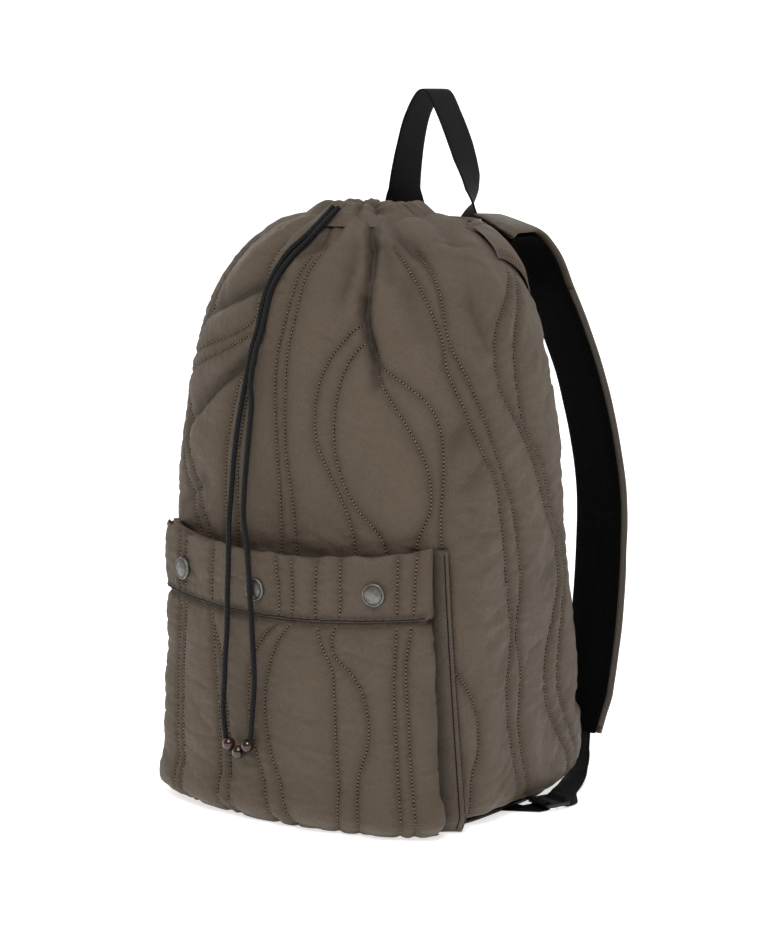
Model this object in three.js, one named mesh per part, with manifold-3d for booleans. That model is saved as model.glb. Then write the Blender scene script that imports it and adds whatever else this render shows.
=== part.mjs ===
// Quilted puffer backpack: a padded bag gathered at the mouth by a drawcord, with a front pocket on three
// snaps, a carry handle and two shoulder straps. Millimetres, +Z up. The front faces -Y, the straps are at
// +Y, and the origin is on the floor under the middle of the base.
import * as THREE from 'three'
import { mergeVertices } from 'three/addons/utils/BufferGeometryUtils.js'
import Module from 'manifold-3d'

const wasm = await Module()
wasm.setup()

// Driving sizes of the bag
const BODY_HEIGHT = 430 // floor to the rim of the gathered mouth
const BODY_HALF_WIDTH = 134
const FRONT_DEPTH = 97 // middle of the bag to its front cloth
const BACK_DEPTH = 119 // middle of the bag to its back, at the deepest place near the floor
const BODY_WALL = 7 // outer cloth, padding and inner cloth, quilted together
const BASE_THICK = 3
const BASE_EDGE = 2 // how far the base panel stands out past the bag's own bottom
const CLEARANCE = 0.3 // between two pieces that touch

// Quilting and gathers
const QUILT_DEPTH = 2.6
const QUILT_WIDTH = 10
const GATHER_DEPTH = 3
const GATHER_COUNT = 15

// Gathered collar round the mouth
const COLLAR_HALF_LENGTH = 38
const COLLAR_FRONT = 25
const COLLAR_BACK = 30
const COLLAR_HALF_WIDTH = 9
const COLLAR_HEIGHT = 10
const COLLAR_RUFFLES = 11
const COLLAR_STEPS = 40

// Front pocket
const POCKET_HALF_WIDTH = 118
const POCKET_HEIGHT = 203 // floor to the top edge at its two corners
const POCKET_DIP = 10 // how far the top edge sags at the middle
const POCKET_DEPTH = 21 // how far the pocket's top stands in front of the bag
const POCKET_BELLY = 6 // how much further it stands out near the floor
const POCKET_CROWN = 23 // how far its corners lie behind its middle
const POCKET_WALL = 4
const POCKET_FLOOR = 1
const POCKET_CORNER = 8
const BAND_HEIGHT = 46
const BAND_THICK = 2.6
const BAND_CROWN = 0.25 // how much thicker it is along its middle, as a share
const SNAP_RADIUS = 8.2
const SNAP_HEIGHT = 3.4
const SNAP_DROP = 25 // from the pocket's top edge to the middle of a snap

// Carry handle
const HANDLE_WIDTH = 32
const HANDLE_THICK = 1.8
const HANDLE_HALF_SPAN = 31
const HANDLE_TOP = 518
const HANDLE_FOOT = 397
const YOKE_THICK = 3

// Shoulder straps
const STRAP_WIDTH = 56
const STRAP_COVER = 4.6
const STRAP_MESH = 4.2
const LAYER_GAP = 0.6 // between the cover and the mesh, which twist together
const STRAP_BOW = 46 // how far a strap stands out past the deepest place of the back
const STRAP_TWIST = 20 // degrees
const ROOT_GAP = 2.1 // from the yoke to the corners of a strap's first end, whose middle comes closer
const WEBBING_WIDTH = 20
const WEBBING_THICK = 1.2
const LOCK_BAR = 2.8
const LOCK_SLOT = 6
const LOCK_THICK = 2.2
const LOCK_OUT = 20.4 // from the edge of the base to the middle of the lock
const LOCK_BACK = 36 // from the middle of the bag back to the middle of the lock
const TAB_DROP = 22 // how far in front of the lock its tab is sewn in

// Drawcord
const CORD_DIAMETER = 4
const BEAD_DIAMETER = 9.5
const BEAD_BORE = 5

const SHELL_BOTTOM = BASE_THICK + CLEARANCE
const COLUMNS = 60
const degrees = Math.PI / 180

// A table of named columns, one row for each section, fold or station
function table(columns, rows) {
  return rows.map((row) => Object.fromEntries(columns.map((name, k) => [name, row[k]])))
}

// The row between two rows of a table, at a value of its first column
function between(rows, key, value) {
  let k = rows.findIndex((row) => row[key] >= value)
  if (k === -1) k = rows.length - 1
  if (k === 0) k = 1
  const [low, high] = [rows[k - 1], rows[k]]
  const share = THREE.MathUtils.clamp((value - low[key]) / (high[key] - low[key]), 0, 1)
  const mixed = {}
  for (const name in low) mixed[name] = THREE.MathUtils.lerp(low[name], high[name], share)
  return mixed
}

// Sections of the bag from its bottom to its rim. Width, front and back are shares of the named sizes, and
// the last two say how square the front and back corners are (2 is an ellipse).
const SECTIONS = table(
  ['height', 'width', 'front', 'back', 'frontSquare', 'backSquare'],
  [
    [0.0, 0.84, 0.8, 0.84, 3.8, 4.5],
    [0.013, 0.92, 0.885, 0.925, 4.0, 5.0],
    [0.038, 0.963, 0.928, 0.983, 4.2, 5.5],
    [0.08, 0.981, 0.948, 1.0, 4.3, 5.8],
    [0.17, 0.985, 0.959, 0.95, 4.3, 5.5],
    [0.3, 0.993, 0.974, 0.857, 4.2, 5.5],
    [0.425, 1.0, 0.99, 0.765, 3.9, 5.0],
    [0.51, 1.0, 1.0, 0.714, 3.8, 4.8],
    [0.6, 1.0, 1.0, 0.681, 3.6, 4.5],
    [0.68, 0.985, 0.979, 0.672, 3.3, 3.9],
    [0.76, 0.959, 0.954, 0.676, 3.0, 3.3],
    [0.832, 0.914, 0.897, 0.681, 2.7, 2.9],
    [0.883, 0.854, 0.83, 0.681, 2.45, 2.7],
    [0.932, 0.754, 0.732, 0.672, 2.25, 2.5],
    [0.958, 0.672, 0.639, 0.639, 2.15, 2.4],
    [0.98, 0.552, 0.515, 0.555, 2.1, 2.3],
    [0.993, 0.425, 0.392, 0.42, 2.0, 2.1],
    [1.0, 0.27, 0.25, 0.26, 2.0, 2.0],
  ],
)
const EXTRA_HEIGHTS = [0.125, 0.235, 0.36, 0.47, 0.64, 0.8, 0.86, 0.91]
const OUTER_HEIGHTS = [...SECTIONS.map((row) => row.height), ...EXTRA_HEIGHTS].sort((a, b) => a - b)
const INNER_HEIGHTS = [1.0, 0.98, 0.932, 0.832, 0.68, 0.425, 0.17, 0.038, 0.013]

// Middles of the double stitch lines: where each one is round the bag, as a share of the half girth from
// the middle of the front (negative to the left), at six heights from low to high
const CHANNEL_HEIGHTS = [0.05, 0.25, 0.45, 0.65, 0.85, 0.96]
const CHANNELS = [
  [-0.01, 0.01, 0.0, -0.022, -0.018, 0.01],
  [0.16, 0.12, 0.17, 0.08, 0.16, 0.17],
  [0.27, 0.31, 0.28, 0.285, 0.17, 0.17],
  [0.5, 0.46, 0.47, 0.4, 0.315, 0.26],
  [0.64, 0.58, 0.61, 0.515, 0.51, 0.44],
  [-0.12, -0.14, -0.135, -0.13, -0.1, -0.04],
  [-0.26, -0.2, -0.22, -0.3, -0.24, -0.2],
  [-0.4, -0.44, -0.36, -0.41, -0.37, -0.36],
  [-0.52, -0.55, -0.5, -0.57, -0.52, -0.5],
  [-0.66, -0.62, -0.68, -0.65, -0.66, -0.62],
  [-0.83, -0.79, -0.85, -0.8, -0.8, -0.8],
  [0.98, 0.95, 1.0, 0.96, 1.0, 1.0],
  [0.8, 0.84, 0.78, 0.82, 0.8, 0.8],
]

// Deep folds in the cloth, each from one place to another: round the bag and up it in shares, depth and
// width in shares of the wall
const FOLDS = table(
  ['fromAround', 'fromHeight', 'toAround', 'toHeight', 'depth', 'width'],
  [
    [0.175, 1.0, 0.163, 0.87, 1.7, 1.3],
    [0.163, 0.87, 0.185, 0.73, 0.9, 1.3],
    [-0.1, 0.885, -0.26, 0.845, 0.9, 1.4],
    [-0.125, 0.755, -0.27, 0.66, 0.8, 1.4],
    [0.0, 0.985, -0.07, 0.9, 0.8, 1.6],
    [0.41, 0.985, 0.4, 0.93, 0.6, 1.4],
    [-0.5, 0.98, -0.47, 0.9, 0.8, 1.6],
    [-0.78, 0.2, -0.55, 0.12, 0.6, 2.0],
    [0.8, 0.2, 0.6, 0.11, 0.6, 2.0],
    [0.62, 0.42, 0.48, 0.36, 0.5, 1.8],
  ],
)

// Half a section's girth as a list of running lengths, so that places round the bag can be evenly spaced
const GIRTH_STEPS = 120
const girths = new Map()

function onSection(row, angle) {
  const [side, ahead] = [Math.sin(angle), Math.cos(angle)]
  const depth = ahead > 0 ? FRONT_DEPTH * row.front : BACK_DEPTH * row.back
  const square = ahead > 0 ? row.frontSquare : row.backSquare
  const across = Math.abs(side / (BODY_HALF_WIDTH * row.width)) ** square
  const along = Math.abs(ahead / depth) ** square
  const reach = (across + along) ** (-1 / square)
  return new THREE.Vector2(reach * side, -reach * ahead)
}

function girthAt(height) {
  if (girths.has(height)) return girths.get(height)
  const row = between(SECTIONS, 'height', height)
  const lengths = [0]
  let last = onSection(row, 0)
  for (let k = 1; k <= GIRTH_STEPS; k++) {
    const next = onSection(row, (Math.PI * k) / GIRTH_STEPS)
    lengths.push(lengths[k - 1] + next.distanceTo(last))
    last = next
  }
  girths.set(height, { row, lengths })
  return girths.get(height)
}

// The smooth cloth at a place: around is -1 to 1 with 0 at the middle of the front, height is 0 to 1
function smoothSkin(around, height) {
  const wrapped = ((((around + 1) % 2) + 2) % 2) - 1
  const { row, lengths } = girthAt(height)
  const wanted = Math.abs(wrapped) * lengths[GIRTH_STEPS]
  let k = lengths.findIndex((length) => length >= wanted)
  if (k < 1) k = 1
  const share = (wanted - lengths[k - 1]) / (lengths[k] - lengths[k - 1])
  const angle = (Math.PI * (k - 1 + share)) / GIRTH_STEPS
  const spot = onSection(row, Math.sign(wrapped) * angle)
  return new THREE.Vector3(spot.x, spot.y, SHELL_BOTTOM + (BODY_HEIGHT - SHELL_BOTTOM) * height)
}

function skinNormal(around, height) {
  const step = 0.004
  const low = Math.max(height - step, 0)
  const high = Math.min(height + step, 1)
  const sideways = smoothSkin(around + step, height).sub(smoothSkin(around - step, height))
  const upward = smoothSkin(around, high).sub(smoothSkin(around, low))
  return sideways.cross(upward).normalize()
}

// The cloth's smooth form moved out by lift
function liftedSkin(around, height, lift) {
  return smoothSkin(around, height).addScaledVector(skinNormal(around, height), lift)
}

function channelAt(channel, height) {
  const rows = CHANNEL_HEIGHTS.map((at, k) => ({ height: at, around: channel[k] }))
  return between(rows, 'height', height).around
}

function aroundGap(one, other) {
  const gap = Math.abs(one - other) % 2
  return Math.min(gap, 2 - gap)
}

// How far the deep folds and the gathers under the mouth draw the cloth in
function foldDepth(around, height) {
  const halfGirth = girthAt(height).lengths[GIRTH_STEPS]
  let depth = 0
  for (const fold of FOLDS) {
    const across = (fold.toAround - fold.fromAround) * halfGirth
    const up = (fold.toHeight - fold.fromHeight) * BODY_HEIGHT
    const here = (around - fold.fromAround) * halfGirth
    const rise = (height - fold.fromHeight) * BODY_HEIGHT
    const share = THREE.MathUtils.clamp((here * across + rise * up) / (across ** 2 + up ** 2), 0, 1)
    const away = Math.hypot(here - share * across, rise - share * up)
    depth += fold.depth * BODY_WALL * Math.exp(-((away / (fold.width * BODY_WALL)) ** 2))
  }
  const rising = THREE.MathUtils.smoothstep(height, 0.86, 0.95)
  const flattening = 1 - THREE.MathUtils.smoothstep(height, 0.97, 1)
  const wave = 0.5 - 0.5 * Math.cos(around * Math.PI * GATHER_COUNT + 2 * Math.sin(around * 7))
  return depth * (height > 0.99 ? 0.5 : 1) + GATHER_DEPTH * wave * rising * flattening
}

// How far the quilting puffs out between its channels
function quiltLift(around, height) {
  const halfGirth = girthAt(height).lengths[GIRTH_STEPS]
  let groove = 0
  for (const channel of CHANNELS) {
    const away = aroundGap(around, channelAt(channel, height)) * halfGirth
    groove = Math.max(groove, Math.exp(-((away / QUILT_WIDTH) ** 2)))
  }
  const fading = 1 - THREE.MathUtils.smoothstep(height, 0.9, 0.97)
  return QUILT_DEPTH * (0.5 - groove) * fading * THREE.MathUtils.smoothstep(height, 0, 0.05)
}

function outerSkin(around, height, lift = 0) {
  const underYoke = onYoke(around, height) ? 0 : quiltLift(around, height)
  return liftedSkin(around, height, lift + underYoke - foldDepth(around, height))
}

// The yoke covers the top of the back between these two edges
const YOKE_HALF_REACH = 0.47 // share of the half girth to each side of the middle of the back
const YOKE_TOP = 0.978
function yokeLow(around) {
  const fromBack = aroundGap(around, 1) / YOKE_HALF_REACH
  return THREE.MathUtils.lerp(0.8, 0.925, THREE.MathUtils.smoothstep(fromBack, 0.35, 1))
}

function onYoke(around, height) {
  return aroundGap(around, 1) < YOKE_HALF_REACH + 0.06 && height > yokeLow(around) - 0.04
}

// Shapes from rings of points. Each ring joins the next, and the two end rings are closed, unless the rings
// run round and meet.
function loft(rings, meet = false) {
  const count = rings[0].length
  const points = rings.flat()
  const faces = []
  const spans = meet ? rings.length : rings.length - 1
  for (let i = 0; i < spans; i++) {
    for (let j = 0; j < count; j++) {
      const [a, b] = [i * count + j, i * count + ((j + 1) % count)]
      const next = ((i + 1) % rings.length) * count
      const [c, d] = [next + j, next + ((j + 1) % count)]
      faces.push(a, b, d, a, d, c)
    }
  }
  if (!meet) {
    for (const [ring, turned] of [[0, true], [rings.length - 1, false]]) {
      const middle = new THREE.Vector3()
      rings[ring].forEach((point) => middle.addScaledVector(point, 1 / count))
      points.push(middle)
      for (let j = 0; j < count; j++) {
        const [a, b] = [ring * count + j, ring * count + ((j + 1) % count)]
        faces.push(points.length - 1, ...(turned ? [b, a] : [a, b]))
      }
    }
  }
  return facesOut(points, faces)
}

function facesOut(points, faces) {
  let volume = 0
  for (let k = 0; k < faces.length; k += 3) {
    const [a, b, c] = faces.slice(k, k + 3).map((index) => points[index])
    volume += a.dot(b.clone().cross(c))
  }
  if (volume < 0) faces.reverse()
  const geometry = new THREE.BufferGeometry().setFromPoints(points)
  geometry.setIndex(faces)
  geometry.computeVertexNormals()
  return geometry
}

// A left-hand piece as the right-hand one
function mirrored(geometry) {
  const copy = geometry.clone().scale(-1, 1, 1)
  copy.index.array.reverse()
  copy.computeVertexNormals()
  return copy
}

function toSolid(geometry) {
  const bare = geometry.clone()
  bare.deleteAttribute('normal')
  bare.deleteAttribute('uv')
  const merged = mergeVertices(bare, 1e-4)
  return new wasm.Manifold(
    new wasm.Mesh({
      numProp: 3,
      vertProperties: new Float32Array(merged.attributes.position.array),
      triVerts: new Uint32Array(merged.index.array),
    }),
  )
}

function toGeometry(solid) {
  const mesh = solid.getMesh()
  const geometry = new THREE.BufferGeometry()
  geometry.setAttribute('position', new THREE.BufferAttribute(new Float32Array(mesh.vertProperties), 3))
  geometry.setIndex(new THREE.BufferAttribute(new Uint32Array(mesh.triVerts), 1))
  geometry.computeVertexNormals()
  return geometry
}

// The largest of the solids that a cut leaves
function mainSolid(solid) {
  return solid.decompose().reduce((best, each) => (each.volume() > best.volume() ? each : best))
}

// The outline of the bag's flat bottom, grown by an edge, at a height in millimetres
function bottomRing(edge, z) {
  return skinColumns().map((around) => {
    const spot = smoothSkin(around, 0)
    const out = new THREE.Vector2(spot.x, spot.y)
    out.setLength(out.length() + edge)
    return new THREE.Vector3(out.x, out.y, z)
  })
}

function skinColumns() {
  return Array.from({ length: COLUMNS }, (_, k) => -1 + (2 * k) / COLUMNS)
}

function bagShell() {
  const outer = OUTER_HEIGHTS.map((height) => skinColumns().map((around) => outerSkin(around, height)))
  const inner = INNER_HEIGHTS.map((height) =>
    skinColumns().map((around) => liftedSkin(around, height, -BODY_WALL - foldDepth(around, height))),
  )
  const floor = bottomRing(-BODY_WALL, SHELL_BOTTOM + BODY_WALL)
  return loft([...outer, ...inner, floor])
}

function basePanel() {
  return loft([bottomRing(BASE_EDGE, 0), bottomRing(BASE_EDGE, BASE_THICK)])
}

// The gathered channel round the mouth: a soft ring whose height and width swell in ruffles
function collarChannel() {
  const sides = 8
  const rings = []
  for (let k = 0; k < COLLAR_STEPS; k++) {
    const angle = (2 * Math.PI * k) / COLLAR_STEPS
    const ruffle = Math.cos(COLLAR_RUFFLES * angle + 1.6 * Math.sin(2 * angle + 0.6))
    const depth = Math.cos(angle) > 0 ? COLLAR_FRONT : COLLAR_BACK
    const middle = new THREE.Vector2(COLLAR_HALF_LENGTH * Math.sin(angle), -depth * Math.cos(angle))
    const halfWidth = COLLAR_HALF_WIDTH * (1 + 0.16 * ruffle)
    const height = COLLAR_HEIGHT * (0.8 + 0.2 * Math.cos(COLLAR_RUFFLES * angle + 1 + 2 * Math.sin(angle)))
    const ring = []
    for (let j = 0; j < sides; j++) {
      const turn = (2 * Math.PI * (j + 0.5)) / sides
      const out = middle.clone().setLength(middle.length() + halfWidth * Math.cos(turn))
      const z = BODY_HEIGHT + CLEARANCE + (height / 2) * (1 + Math.sin(turn) / Math.sin((1.5 * Math.PI * 2) / sides))
      ring.push(new THREE.Vector3(out.x, out.y, z))
    }
    rings.push(ring)
  }
  return loft(rings, true)
}

// Half width, front and top edge of the pocket, as functions of the place across it and up it
function pocketInset(z) {
  return 10 * (1 - THREE.MathUtils.smoothstep(z, POCKET_FLOOR - 2, POCKET_FLOOR + 14))
}

function pocketTop(across) {
  return POCKET_HEIGHT - POCKET_DIP * (1 - across ** 2)
}

function pocketFront(across, up) {
  const belly = POCKET_BELLY * (1 - up)
  return -(FRONT_DEPTH + POCKET_DEPTH + belly - POCKET_CROWN * Math.abs(across) ** 2.2)
}

// Stitched channels of the pocket's front: places across it at five heights, in shares of the half width
const POCKET_CHANNEL_HEIGHTS = [0, 0.3, 0.55, 0.75, 1]
const POCKET_CHANNELS = [
  [-0.76, -0.8, -0.8, -0.74, -0.74],
  [-0.38, -0.4, -0.45, -0.48, -0.47],
  [0.12, 0.0, -0.1, 0.05, 0.05],
  [0.56, 0.58, 0.52, 0.4, 0.4],
  [0.93, 0.9, 0.88, 0.9, 0.9],
]

function pocketLift(across, up, seam) {
  const rows = POCKET_CHANNEL_HEIGHTS.map((at, k) => ({ up: at, k }))
  let groove = 0
  for (const channel of POCKET_CHANNELS) {
    const spots = rows.map((row) => ({ up: row.up, across: channel[row.k] }))
    const away = (across - between(spots, 'up', up).across) * POCKET_HALF_WIDTH
    groove = Math.max(groove, Math.exp(-((away / QUILT_WIDTH) ** 2)))
  }
  return up < seam ? QUILT_DEPTH * (0.6 - groove) : 0
}

const POCKET_STATIONS = 19
function pocketStations() {
  return Array.from({ length: POCKET_STATIONS }, (_, k) => -1 + (2 * k) / (POCKET_STATIONS - 1))
}

// One level of the pocket: its back end lies inside the bag, and the bag's form is cut out of it later
function pocketRing(up, wall, rise) {
  const seam = 1 - BAND_HEIGHT / POCKET_HEIGHT
  const z = (across) => THREE.MathUtils.lerp(POCKET_FLOOR + wall, pocketTop(across) + rise, up)
  const setBack = up > seam ? BAND_THICK + CLEARANCE : 0
  const inset = pocketInset(z(1)) + wall
  const half = POCKET_HALF_WIDTH - inset
  const backEnd = -FRONT_DEPTH * 0.32 - wall
  const ring = []
  const rounded = Math.max(POCKET_CORNER - wall, 2)
  for (const across of pocketStations()) {
    const corner = Math.max(Math.abs(across) - 1 + rounded / half, 0) * half
    const drawnIn = rounded - Math.sqrt(Math.max(rounded ** 2 - corner ** 2, 0))
    const lift = wall > 0 ? 0 : pocketLift(across, up, seam)
    const y = pocketFront(across, up) + inset * 0.8 + wall * 0.2 + setBack + drawnIn - lift
    ring.push(new THREE.Vector3(across * half, y, z(across)))
  }
  const last = ring[ring.length - 1]
  for (const share of [0.5, 1]) {
    ring.push(new THREE.Vector3(half, THREE.MathUtils.lerp(last.y, backEnd, share), z(1)))
  }
  for (const share of [1, 0.5]) {
    ring.push(new THREE.Vector3(-half, THREE.MathUtils.lerp(last.y, backEnd, share), z(1)))
  }
  return ring
}

function frontPocket() {
  const seam = 1 - BAND_HEIGHT / POCKET_HEIGHT
  const levels = [0, 0.015, 0.04, 0.08, 0.2, 0.35, 0.5, 0.65, seam - 0.03, seam - 0.001, seam + 0.012, 0.9, 1]
  const outer = toSolid(loft(levels.map((up) => pocketRing(up, 0, 0))))
  const hollow = toSolid(loft([0, 0.03, 0.1, 0.4, seam - 0.01, seam + 0.012, 1].map((up) => pocketRing(up, POCKET_WALL, 5))))
  const bagSkin = OUTER_HEIGHTS.map((height) => {
    return skinColumns().map((around) => outerSkin(around, height, CLEARANCE))
  })
  const underBag = [-2, SHELL_BOTTOM].map((z) => bottomRing(BASE_EDGE + CLEARANCE, z))
  const bag = toSolid(loft([...underBag, ...bagSkin]))
  return toGeometry(mainSolid(outer.subtract(hollow).subtract(bag)))
}

// The folded band along the top of the pocket's front, from corner to corner
function pocketBand() {
  const seam = 1 - BAND_HEIGHT / POCKET_HEIGHT
  const bottom = seam + 0.018
  const rings = pocketStations().map((station) => {
    const across = station * 0.955
    const ring = []
    for (const [up, out] of [[bottom, 0], [bottom, 1], [(1 + bottom) / 2, 1 + BAND_CROWN], [1, 1], [1, 0], [(1 + bottom) / 2, 0]]) {
      const y = pocketFront(across, up) + BAND_THICK - out * BAND_THICK
      const z = THREE.MathUtils.lerp(POCKET_FLOOR, pocketTop(across), up)
      ring.push(new THREE.Vector3(across * POCKET_HALF_WIDTH, y, z))
    }
    return ring
  })
  return loft(rings)
}

const SNAPS = table(['side', 'across'], [['left', -0.745], ['middle', -0.1], ['right', 0.71]])

// A plain domed snap cap with a raised rim, on the front of the band
function snapCap(across) {
  const profile = [
    [0, 0], [0.9, 0], [1, 0.3], [0.9, 0.82], [0.78, 0.82], [0.7, 0.6], [0.4, 0.86], [0, 1],
  ].map(([out, up]) => new THREE.Vector2(out * SNAP_RADIUS, up * SNAP_HEIGHT))
  const cap = new THREE.LatheGeometry(profile, 12)
  cap.rotateX(Math.PI)
  const z = pocketTop(across) - SNAP_DROP
  const up = (z - POCKET_FLOOR) / (pocketTop(across) - POCKET_FLOOR)
  const step = 0.02
  const slope = (pocketFront(across + step, up) - pocketFront(across - step, up)) / (2 * step * POCKET_HALF_WIDTH)
  cap.rotateZ(Math.atan(slope))
  const standing = BAND_THICK * BAND_CROWN + CLEARANCE
  cap.translate(across * POCKET_HALF_WIDTH, pocketFront(across, up) - standing, z)
  return cap
}

// A flat or padded strip along a curve. The side vector gives its width's direction, and lift moves the
// strip off the curve along its normal.
const FLAT_SECTION = [[-0.5, -0.5], [0.5, -0.5], [0.5, 0.5], [-0.5, 0.5]]
const PADDED_SECTION = [
  [-0.5, 0], [-0.44, -0.42], [-0.2, -0.5], [0.2, -0.5], [0.44, -0.42], [0.5, 0], [0.44, 0.42], [-0.44, 0.42],
]

function strip({ curve, steps, sideAt, width, thick, section = FLAT_SECTION, lift = 0, widthAt = () => 1 }) {
  const rings = []
  for (let k = 0; k <= steps; k++) {
    const share = k / steps
    const point = curve.getPointAt(share)
    const along = curve.getTangentAt(share)
    const side = sideAt(share)
    side.addScaledVector(along, -side.dot(along)).normalize()
    const normal = along.clone().cross(side)
    rings.push(
      section.map(([across, through]) => {
        const spot = point.clone().addScaledVector(side, across * width * widthAt(share))
        return spot.addScaledVector(normal, through * thick + lift)
      }),
    )
  }
  return rings
}

// The point of the back cloth, moved out by lift, that has this x and z
function backPoint(x, z, lift) {
  let around = Math.sign(x || 1) * 0.8
  let height = (z - SHELL_BOTTOM) / (BODY_HEIGHT - SHELL_BOTTOM)
  let spot = new THREE.Vector3()
  for (let k = 0; k < 16; k++) {
    height = THREE.MathUtils.clamp(height, 0, 1)
    spot = liftedSkin(around, height, lift)
    around += ((spot.x - x) * 0.7) / girthAt(height).lengths[GIRTH_STEPS]
    height += ((z - spot.z) * 0.7) / BODY_HEIGHT
  }
  return spot
}

const YOKE_LIFT = 1.2 // the yoke's inner face above the smooth cloth
const YOKE_FACE = YOKE_LIFT + YOKE_THICK

function backYoke() {
  const stations = 27
  const rings = []
  for (let k = 0; k < stations; k++) {
    const around = 1 + YOKE_HALF_REACH * (-1 + (2 * k) / (stations - 1))
    const low = yokeLow(around)
    const heights = [0, 0.3, 0.5, 0.7, 0.85, 1].map((share) => THREE.MathUtils.lerp(low, YOKE_TOP, share))
    const inner = heights.map((height) => liftedSkin(around, height, YOKE_LIFT))
    const outer = heights.reverse().map((height) => liftedSkin(around, height, YOKE_FACE))
    rings.push([...inner, ...outer])
  }
  return loft(rings)
}

// Stations of the carry handle from its left foot over the top to its right foot, in shares of its half
// span and of its rise above the feet, with the turn of the webbing in degrees
const HANDLE_STATIONS = table(
  ['across', 'rise', 'turn'],
  [
    [-0.95, 0.0, 90],
    [-0.95, 0.12, 82],
    [-0.97, 0.24, 44],
    [-0.98, 0.38, 12],
    [-0.79, 0.67, 3],
    [-0.57, 0.85, 0],
    [-0.2, 0.985, 0],
    [0.0, 0.985, 0],
    [0.33, 0.85, 0],
    [0.66, 0.67, 0],
    [0.82, 0.56, -3],
    [0.95, 0.47, -9],
    [1.01, 0.38, -18],
    [1.04, 0.29, -36],
    [0.99, 0.2, -62],
    [0.95, 0.1, -86],
    [0.95, 0.0, -90],
  ],
)

function carryHandle() {
  const standing = HANDLE_THICK / 2 + CLEARANCE * 1.3
  const footTop = HANDLE_FOOT + 18
  const rest = Math.max(
    ...[HANDLE_FOOT, footTop].map((z) => backPoint(HANDLE_HALF_SPAN - HANDLE_WIDTH / 2, z, YOKE_FACE).y),
  )
  const points = HANDLE_STATIONS.map((row) => {
    const z = THREE.MathUtils.lerp(HANDLE_FOOT, HANDLE_TOP, row.rise)
    return new THREE.Vector3(row.across * HANDLE_HALF_SPAN, rest + standing, z)
  })
  const curve = new THREE.CatmullRomCurve3(points, false, 'centripetal')
  const turns = HANDLE_STATIONS.map((row, k) => ({ at: k / (HANDLE_STATIONS.length - 1), turn: row.turn }))
  const steps = 34
  const lengthShares = spanShares(points)
  const rings = strip({
    curve,
    steps,
    sideAt: (share) => {
      const turn = between(turns, 'at', shareToStation(lengthShares, share)).turn * degrees
      return new THREE.Vector3(Math.sin(turn), Math.cos(turn), 0)
    },
    width: HANDLE_WIDTH,
    thick: HANDLE_THICK,
  })
  return loft(rings)
}

// Running share of a path's length at each of its points, and the station that a share of it falls on
function spanShares(points) {
  const lengths = [0]
  for (let k = 1; k < points.length; k++) lengths.push(lengths[k - 1] + points[k].distanceTo(points[k - 1]))
  return lengths.map((length) => length / lengths[lengths.length - 1])
}

function shareToStation(shares, share) {
  let k = shares.findIndex((at) => at >= share)
  if (k < 1) k = 1
  const within = (share - shares[k - 1]) / (shares[k] - shares[k - 1])
  return (k - 1 + within) / (shares.length - 1)
}

// Stations of a shoulder strap from the yoke to its lower end: across in shares of the bag's half width,
// height in shares of the bag's, bow in shares of the strap's bow past the back, the share of its twist, and
// how far its outer edge hangs, in degrees
const STRAP_STATIONS = table(
  ['across', 'height', 'bow', 'twist', 'hang'],
  [
    [0.525, 0.966, -0.98, 0, 26],
    [0.525, 0.972, -0.78, 0, 24],
    [0.525, 0.956, -0.53, 0.3, 18],
    [0.535, 0.921, -0.26, 0.6, 9],
    [0.555, 0.87, 0.0, 0.9, 3],
    [0.59, 0.793, 0.42, 1, 0],
    [0.634, 0.712, 0.7, 1, 0],
    [0.68, 0.605, 0.935, 1, 0],
    [0.724, 0.498, 1.0, 1, 0],
    [0.754, 0.393, 0.87, 1, 0],
    [0.784, 0.263, 0.59, 1, 0],
    [0.799, 0.16, 0.28, 1, 0],
    [0.806, 0.12, 0.15, 1, 0],
    [0.806, 0.085, 0.12, 1, 0],
  ],
)

function strapCurve() {
  const points = STRAP_STATIONS.map((row) => {
    const y = BACK_DEPTH + row.bow * STRAP_BOW
    return new THREE.Vector3(-row.across * BODY_HALF_WIDTH, y, row.height * BODY_HEIGHT)
  })
  return { points, curve: new THREE.CatmullRomCurve3(points, false, 'centripetal') }
}

function twistedSide(twist, hang) {
  const turn = twist * STRAP_TWIST * degrees
  return new THREE.Vector3(Math.cos(turn), Math.sin(turn), Math.sin(hang * degrees))
}

// One layer of a shoulder strap, with its first end fitted to the yoke
function strapLayer(thick, lift, width) {
  const { points, curve } = strapCurve()
  const shares = spanShares(points)
  const stations = STRAP_STATIONS.map((row, k) => ({ at: k / (STRAP_STATIONS.length - 1), ...row }))
  const rings = strip({
    curve,
    steps: 20,
    sideAt: (share) => {
      const { twist, hang } = between(stations, 'at', shareToStation(shares, share))
      return twistedSide(twist, hang)
    },
    width,
    thick,
    section: PADDED_SECTION,
    lift,
    widthAt: (share) => {
      const root = 0.16 * (1 - THREE.MathUtils.smoothstep(share, 0, 0.12))
      return 1 - root - 0.35 * THREE.MathUtils.smoothstep(share, 0.93, 1.02)
    },
  })
  for (const [k, ring] of rings.slice(0, 4).entries()) {
    for (const spot of ring) {
      const seat = backPoint(spot.x, spot.z, YOKE_FACE + ROOT_GAP).y
      spot.y = Math.max(k === 0 ? Math.min(seat, spot.y + 16) : spot.y, seat, spot.y - 22)
    }
  }
  return loft(rings)
}

function strapCover() {
  return strapLayer(STRAP_COVER, -(STRAP_COVER + LAYER_GAP) / 2, STRAP_WIDTH)
}

function strapMesh() {
  return strapLayer(STRAP_MESH, (STRAP_MESH + LAYER_GAP) / 2, STRAP_WIDTH - 4)
}

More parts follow.
